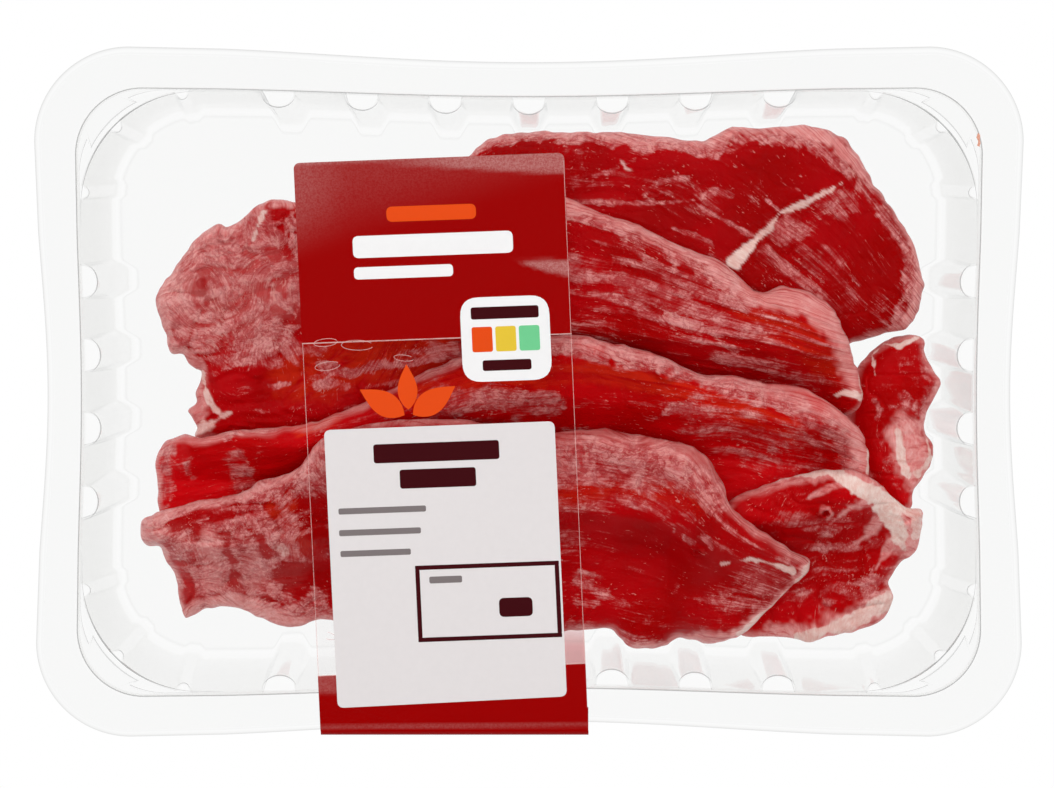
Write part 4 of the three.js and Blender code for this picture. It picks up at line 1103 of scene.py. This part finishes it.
def tray_ledge(stand, step):
    """The corner ledges from the wall's top to the flange, with a low step across each of them."""
    wall_top, rim = tray_ring(WALL_TOP, 1, 0), tray_ring(RIM, 1, 0)
    across = np.linalg.norm(rim - wall_top, axis=1)[:, None]
    inward = (rim - wall_top) / np.maximum(across, 0.01)
    corner = smooth(0.5, 1.6, across[:, 0])
    rings = [(wall_top - inward * 0.15 * (across > 0.5), FLUTE_TOP + 0.02, -1 * smooth(0.2, 0.5, stand))]
    for out, up, line in LEDGE_RINGS:
        rings.append((wall_top + inward * np.minimum(out, across * 0.3), FLUTE_TOP + up, line * corner))
    place = (0.62 - 0.37 * step)[:, None] * across
    notch = 0.5 + 0.5 * np.sqrt(np.maximum(step * (1 - step), 0))
    for out, up, line in STEP_RINGS:
        ring = wall_top + inward * (place + out * np.minimum(across * 0.2, 1))
        rings.append((ring, FLUTE_TOP + up, line * (notch if line > 0 else 1) * corner))
    rings.append((rim - inward * np.minimum(0.35, across * 0.1), FLUTE_TOP + 1.2, 0.0))
    rings.append((offset_ring(rim, -0.05), FLUTE_TOP + 1.9, 0.0))
    return rings


def tray_rings():
    """Rings up the inside, over the flange, and down the outside: (points, height, painted edge line)."""
    stand, step, long_side = tray_marks()
    inside = tray_wall(stand, long_side) + tray_ledge(stand, step)
    outside = []
    for k, (points, z, line) in enumerate(inside):
        drop = WALL * (0.6 if k > 4 else 1)
        outside.append((offset_ring(points, WALL), z - drop, np.minimum(line * 0.6, 0)))
    rim, outer = tray_ring(RIM, 1, 0), tray_ring(OUTER, 1, 0)
    flange = []
    for base, table in ((rim, NEAR_RIM), (outer, NEAR_OUTER), (rim, UNDER_RIM)):
        flange += [(offset_ring(base, out), FLANGE_TOP + up, line) for out, up, line in table]
    return inside + flange + outside[::-1]


def make_tray(material):
    """The clear tray, one closed sheet from its inside to its outside."""
    rings = tray_rings()
    count = len(rings[0][0])
    vertices = np.concatenate([np.column_stack([points, z + np.zeros(count)]) for points, z, _ in rings])
    vertices[:, 2] = np.maximum(vertices[:, 2], 0)
    faces = []
    for k in range(len(rings) - 1):
        a = k * count + np.arange(count)
        b = k * count + (np.arange(count) + 1) % count
        faces.append(np.stack([b, a, a + count, b + count], 1))
    faces = np.concatenate(faces).tolist()
    faces.append(list(range(count)))
    faces.append(list(range((len(rings) - 1) * count, len(rings) * count))[::-1])
    made = object_from("clear_tray", vertices * MM, faces, [material])
    for polygon in list(made.data.polygons)[-2:]:
        polygon.use_smooth = False
    # Painted dark edge lines and painted highlights of the clear sheet, kept at its points.
    point_values(made, "line", np.concatenate([line + np.zeros(count) for _, _, line in rings]))
    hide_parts("tray")
    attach(made, "root")


def prism(points, low, high, first):
    """Vertices and faces of a flat plate on an anticlockwise outline."""
    count = len(points)
    vertices = [(x, y, low) for x, y in points] + [(x, y, high) for x, y in points]
    faces = [[first + i for i in reversed(range(count))], [first + count + i for i in range(count)]]
    for i in range(count):
        j = (i + 1) % count
        faces.append([first + i, first + j, first + count + j, first + count + i])
    return vertices, faces


def anticlockwise(points):
    """The outline, turned round where it runs clockwise."""
    area = sum(a[0] * b[1] - b[0] * a[1] for a, b in zip(points, points[1:] + points[:1]))
    return points if area > 0 else points[::-1]


def make_plates(name, plates, materials, low, high, slot, node=None):
    """Flat plates in one mesh: each is an outline and the index of its material."""
    vertices, faces, kinds = [], [], []
    for points, kind in plates:
        more, sides = prism(anticlockwise(list(points)), low, high, len(vertices))
        vertices.extend(more)
        faces.extend(sides)
        kinds.extend([kind] * len(sides))
    made = object_from(name, np.array(vertices) * MM, faces, materials, smooth_shade=False)
    made.data.polygons.foreach_set("material_index", kinds)
    made.visible_shadow = False
    if node:
        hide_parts(node)
    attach(made, "root")


def rounded(corners, radius, steps=6):
    """The corners' outline with each of them rounded."""
    points = []
    for i, (x, y) in enumerate(corners):
        before, after = Vector(corners[i - 1]), Vector(corners[(i + 1) % len(corners)])
        here = Vector((x, y))
        inward, onward = (before - here).normalized() * radius, (after - here).normalized() * radius
        for k in range(steps + 1):
            t = k / steps
            point = here + inward * (1 - t) ** 2 + onward * t ** 2
            points.append((point.x, point.y))
    return points


def band_edges(y):
    """Left and right edge of the band at a distance to the back."""
    corners, sides = BAND_CORNERS, []
    for side in ("left", "right"):
        (x0, y0), (x1, y1) = corners["front_" + side], corners["back_" + side]
        sides.append(x0 + (x1 - x0) * (y - y0) / (y1 - y0))
    return sides


def below(line, px, py):
    """How many pixels points lie below a slanted line in the picture."""
    x, y, slope = line
    return py - y - slope * (px - x)


def band_shine(px, py):
    """How strongly the printed fields reflect at pixels of the photograph."""
    reach = 1 - smooth(*REACH_SOFT, below(REACH_LINE, px, py))
    left = 1 - smooth(*REACH_LEFT, px)
    edge = 1 - smooth(*EDGE_SOFT, below(EDGE_LINE, px, py))
    arc = py - ARC_Y - ARC_DROP * smooth(*ARC_BEND, px)
    arc = smooth(*ARC_X, px) * (1 - smooth(*ARC_SOFT, arc))
    tongue = np.abs(below(TONGUE_LINE, px, py)) - TONGUE_HALF * smooth(*TONGUE_WIDENS, px)
    tongue = smooth(*TONGUE_X, px) * (1 - smooth(*TONGUE_SOFT, tongue))
    streak = 1 - smooth(*STREAK_SOFT, np.abs(below(STREAK_LINE, px, py)))
    corner = (1 - smooth(*CORNER_X, px)) * smooth(*CORNER_TOP, py) * (1 - smooth(*CORNER_LOW, py))
    dull = np.clip(reach * (0.07 + 0.11 * left) + 0.2 * edge, 0, 1)
    return np.maximum(dull, 0.33 * arc + 0.05 * reach) + 0.38 * tongue + 0.10 * streak + 0.16 * corner


def window_blush(px, py):
    """The meat's red in the clear window beside the sticker."""
    return BLUSH * smooth(*BLUSH_X, px) * smooth(*BLUSH_Y, py)


def band_stations():
    """Rows over the film from back to front, as (left y, right y, inset), and where the window lies."""
    back = (BAND_CORNERS["back_left"][1], BAND_CORNERS["back_right"][1])
    front = BAND_CORNERS["front_left"][1] + BAND_FOLD
    rows = []

    def run(start, end, shares, inset=0.0):
        for t in shares:
            rows.append((start[0] + (end[0] - start[0]) * t, start[1] + (end[1] - start[1]) * t, inset))

    depth = back[0] - BACK_PANEL_END[0]
    for drop in (0.0, 0.12, 0.35, 0.7, 1.2, BAND_RADIUS):
        inset = BAND_RADIUS - math.sqrt(BAND_RADIUS ** 2 - (BAND_RADIUS - drop) ** 2)
        run(back, BACK_PANEL_END, [drop / depth], inset)
    run(back, BACK_PANEL_END, np.linspace(BAND_RADIUS / depth, 1, 45)[1:])
    window_start = len(rows) - 1
    run(BACK_PANEL_END, FRONT_PANEL_START, np.linspace(0, 1, 20)[1:])
    window_end = len(rows) - 1
    run(FRONT_PANEL_START, (front, front), np.linspace(0, 1, 24)[1:])
    return rows, range(window_start, window_end)


def band_fold():
    """Rows round the flange's edge and under it, as (y, z) inside and outside the fold."""
    low, high = BAND_Z
    edge = BAND_CORNERS["front_left"][1]
    front, tucked = edge + BAND_FOLD, edge + BAND_TUCK
    middle, reach, thick = (high + BAND_UNDER[1]) / 2, (high - BAND_UNDER[1]) / 2, high - low
    fold = []
    for angle in np.radians(np.linspace(0, 180, 13)[1:]):
        sin, cos = math.sin(angle), math.cos(angle)
        inner = (front - (BAND_FOLD - thick) * sin, middle + (reach - thick) * cos)
        fold.append((inner, (front - BAND_FOLD * sin, middle + reach * cos)))
    return fold + [((tucked, BAND_UNDER[0]), (tucked, BAND_UNDER[1]))]


def band_points(stations, fold):
    """The band's upper points and its lower ones, row by row."""
    shares = np.linspace(0, 1, BAND_COLUMNS)
    upper, lower = [], []
    for a, b, inset in stations:
        left, right = band_edges(a)[0] + inset, band_edges(b)[1] - inset
        for t in shares:
            place = (left + (right - left) * t, a + (b - a) * t)
            upper.append((*place, BAND_Z[1]))
            lower.append((*place, BAND_Z[0]))
    left, right = band_edges(BAND_CORNERS["front_left"][1])
    for inner, outer in fold:
        for t in shares:
            upper.append((left + (right - left) * t, *outer))
            lower.append((left + (right - left) * t, *inner))
    return upper, lower


def make_band(red, clear):
    """The printed band: flat over the film, round the flange's edge and a little way under it."""
    stations, window_rows = band_stations()
    upper, lower = band_points(stations, band_fold())
    vertices, total, columns = np.array(upper + lower), len(upper), BAND_COLUMNS
    rows = total // columns
    faces = grid_faces(rows, columns).tolist() + grid_faces(rows, columns, first=total, flip=True).tolist()
    row_kind = [int(row in window_rows) for row in range(rows)]
    kinds = [row_kind[row] for _ in range(2) for row in range(rows - 1) for _ in range(columns - 1)]
    ring = list(range(columns))
    ring += [row * columns + columns - 1 for row in range(1, rows)]
    ring += [(rows - 1) * columns + i for i in range(columns - 2, -1, -1)]
    ring += [row * columns for row in range(rows - 2, 0, -1)]
    for a, b in zip(ring, ring[1:] + ring[:1]):
        faces.append([a, b, b + total, a + total])
        kinds.append(row_kind[min(a, b) // columns])
    made = object_from("printed_band", vertices * MM, faces, [red, clear], smooth_shade=False)
    made.data.polygons.foreach_set("material_index", kinds)
    pixels = project(*vertices.T)
    point_values(made, "shine", band_shine(*pixels))
    point_values(made, "line", window_blush(*pixels))
    made.visible_shadow = False
    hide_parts("band_back_panel", "band_window", "band_front_panel")
    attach(made, "root")


def make_camera():
    """The photograph's camera."""
    data = bpy.data.cameras.new("camera")
    data.sensor_width = SENSOR
    data.lens = FOCAL_PX / IMAGE_W * SENSOR
    data.shift_x = (IMAGE_W / 2 - PRINCIPAL[0]) / IMAGE_W
    data.shift_y = (PRINCIPAL[1] - IMAGE_H / 2) / IMAGE_W
    data.clip_start, data.clip_end = 0.01, 20
    made = bpy.data.objects.new("camera", data)
    made.location = (CAMERA_X * MM, CAMERA_Y * MM, CAMERA_Z * MM)
    made.rotation_euler = (-CAMERA_TILT, 0, 0)
    bpy.context.scene.collection.objects.link(made)
    bpy.context.scene.camera = made


def make_light(name, location, size, power, mirrored):
    """A rectangle of light that faces the pack."""
    data = bpy.data.lights.new(name, "AREA")
    data.shape = "RECTANGLE"
    data.size, data.size_y = size
    data.energy = power
    made = bpy.data.objects.new(name, data)
    made.location = location
    made.visible_glossy = mirrored
    made.rotation_euler = (Vector() - Vector(location)).to_track_quat("-Z", "Y").to_euler()
    bpy.context.scene.collection.objects.link(made)


def make_world():
    """White near the horizon, dim overhead, as under a studio ceiling with the camera in it."""
    world = bpy.data.worlds.new("studio")
    bpy.context.scene.world = world
    g = Graph(world, "OutputWorld")
    ramp = g.nodes.new("ShaderNodeValToRGB")
    for element, position, white in zip(ramp.color_ramp.elements, (0.55, 0.92), (1, 0.05)):
        element.position, element.color = position, (white, white, white, 1)
    g.put(ramp.inputs[0], g.node("SeparateXYZ", {0: g.node("TexCoord", {}, "Generated")}, "Z"))
    g.finish(g.node("Background", {"Color": ramp.outputs[0], "Strength": 0.5}))


def make_floor():
    """A white glow under the pack, as bright as the photograph's ground."""
    g = new_material("white_floor")
    glow = g.finish(g.node("Emission", {"Color": WHITE, "Strength": 1.0}))
    half = 3
    corners = [(-half, -half, 0), (half, -half, 0), (half, half, 0), (-half, half, 0)]
    made = object_from("floor", corners, [[0, 1, 2, 3]], [glow], smooth_shade=False)
    made.location.z = -0.0004


def label_point(along, down, a=0.0, b=0.0, turn=0.0):
    """A place on the band, in millimetres from its back left corner along and down its sides.

    The place may lie at (a, b) from there, turned by degrees.
    """
    cos, sin = math.cos(math.radians(turn)), math.sin(math.radians(turn))
    along, down = along + a * cos - b * sin, down + a * sin + b * cos
    x, y = BAND_CORNERS["back_left"]
    return x + along * BAND_ALONG[0] + down * BAND_DOWN[0], y + along * BAND_ALONG[1] + down * BAND_DOWN[1]


def block(left, top, width, height, radius):
    """The outline of a rounded block on the band."""
    corners = [(left, top), (left + width, top), (left + width, top + height), (left, top + height)]
    return [label_point(a, b) for a, b in rounded(corners, radius)]


def leaf(along, down, length, width, turn):
    """A leaf shape from its foot, turned from the band's cross direction."""
    shares = [k / 14 for k in range(15)]
    top = [(length * t, -width / 2 * math.sin(math.pi * t ** 0.8)) for t in shares]
    low = [(length * t, width / 2 * math.sin(math.pi * t ** 0.8)) for t in reversed(shares[1:-1])]
    return [label_point(along, down, a, b, turn) for a, b in top + low]


def ribbon(points, width):
    """The outline of a narrow strip along a line in plan."""
    left, right = [], []
    for k, here in enumerate(points):
        before, after = Vector(points[max(k - 1, 0)]), Vector(points[min(k + 1, len(points) - 1)])
        way = (after - before).normalized() * (width / 2)
        left.append((here[0] - way.y, here[1] + way.x))
        right.append((here[0] + way.y, here[1] - way.x))
    return left + right[::-1]


def loop(along, down, half_long, half_wide, start, end, turn):
    """Part of an oval bubble's outline."""
    angles = np.radians(np.linspace(start, end, 25))
    return [label_point(along, down, half_long * math.cos(a), half_wide * math.sin(a), turn) for a in angles]


def make_seam_highlights(pale):
    """Painted highlights: the band's pale edges and the outlines of bubbles under its clear window."""
    back, front = BACK_PANEL_END, FRONT_PANEL_START
    left_rows = np.linspace(front[0], back[0], 30)
    right_rows = np.linspace(front[1], BAND_CORNERS["back_right"][1] - 2, 30)
    lines = [
        ribbon([(band_edges(y)[0] + 0.18, y) for y in left_rows], 0.14),
        ribbon([(band_edges(y)[1] - 0.18, y) for y in right_rows], 0.14),
        ribbon([(band_edges(back[0])[0], back[0]), (band_edges(back[1])[1], back[1])], 0.3),
        ribbon([(band_edges(front[0])[0], front[0]), (band_edges(front[1])[1], front[1])], 0.25),
    ]
    lines += [ribbon(loop(*bubble), 0.15) for bubble in BUBBLES]
    low = BAND_Z[1] + PRINT_GAP
    make_plates("band_seam_highlights", [(points, 0) for points in lines], [pale], low, low + 0.02, "band_clear")


def make_prints(materials):
    """Generic fields of colour on the band and on the sticker."""
    kinds = list(INKS)

    def plates(blocks):
        return [(block(*sizes), kinds.index(ink)) for *sizes, ink in blocks]

    band = plates(BAND_BLOCKS) + [(leaf(*sizes), kinds.index("orange")) for sizes in LEAVES]
    low, top = BAND_Z[1] + PRINT_GAP, STICKER_Z[1] + STICKER_GAP
    for name, drawn, z, slot in (
        ("band_print", band, low, "band_red"),
        ("band_marks", plates(BADGE_BLOCKS), low + 0.04, "band_red"),
        ("sticker_print", plates(STICKER_BLOCKS), top, "sticker_paper"),
    ):
        make_plates(name, drawn, materials, z, z + PRINT_THICKNESS, slot)


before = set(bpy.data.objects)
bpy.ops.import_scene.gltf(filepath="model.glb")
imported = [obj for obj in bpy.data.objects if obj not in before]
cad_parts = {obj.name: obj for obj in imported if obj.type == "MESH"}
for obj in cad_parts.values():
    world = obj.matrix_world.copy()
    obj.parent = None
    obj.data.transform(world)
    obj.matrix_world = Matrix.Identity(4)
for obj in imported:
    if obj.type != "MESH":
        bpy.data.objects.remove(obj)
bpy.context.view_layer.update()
make_world()
make_camera()
make_floor()
for light in LIGHTS:
    make_light(*light)

clear = {name: clear_material(name, **look) for name, look in CLEAR_SHEETS.items()}
red_print = print_material("band_red", PRINT_RED, roughness=0.12, gloss=0.1, shine=PRINT_SHINE)
paper = print_material("sticker_paper", PAPER, roughness=0.5, gloss=0.2)
inks = [print_material("ink_" + name, colour, roughness=0.14) for name, colour in INKS.items()]
beef = meat_material()

make_tray(clear["clear_tray"])
pile = np.full((2 * FIELD_Y + 1, 2 * FIELD_X + 1), FLOOR - LAYER_GAP)
for number, steak in enumerate(STEAKS):
    pile = make_steak(steak, pile, FIRST_SEED + SEED_STEP * number, beef)
film = [tuple(p) for p in offset_ring(tray_ring(OUTER, 1, 0), -FILM_INSET)]
make_plates("lid_film_sheet", [(film, 0)], [clear["lid_film"]], *FILM_Z, "lid_plastic", "lid_film")
make_band(red_print, clear["band_window"])
sticker = rounded(STICKER_CORNERS, STICKER_RADIUS)
make_plates("price_sticker_sheet", [(sticker, 0)], [paper], *STICKER_Z, "sticker_paper", "price_sticker")
make_prints(inks)
stain = [(x + RIM_STAIN[0], y + RIM_STAIN[1]) for x, y in RIM_STAIN_SHAPE]
juice = print_material("dried_juice", DRIED_JUICE, roughness=0.4)
make_plates("rim_stain", [(stain, 0)], [juice], FLANGE_TOP + 0.01, FLANGE_TOP + 0.06, "beef")
make_seam_highlights(seam_highlight_material("film_seam_highlight", SEAM_HIGHLIGHT_PINK, share=0.45))

scene = bpy.context.scene
scene.view_settings.view_transform = "Standard"
scene.view_settings.look = "None"
scene.cycles.transparent_max_bounces = 32
scene.cycles.max_bounces = 6
scene.cycles.diffuse_bounces = 3
scene.cycles.glossy_bounces = 2
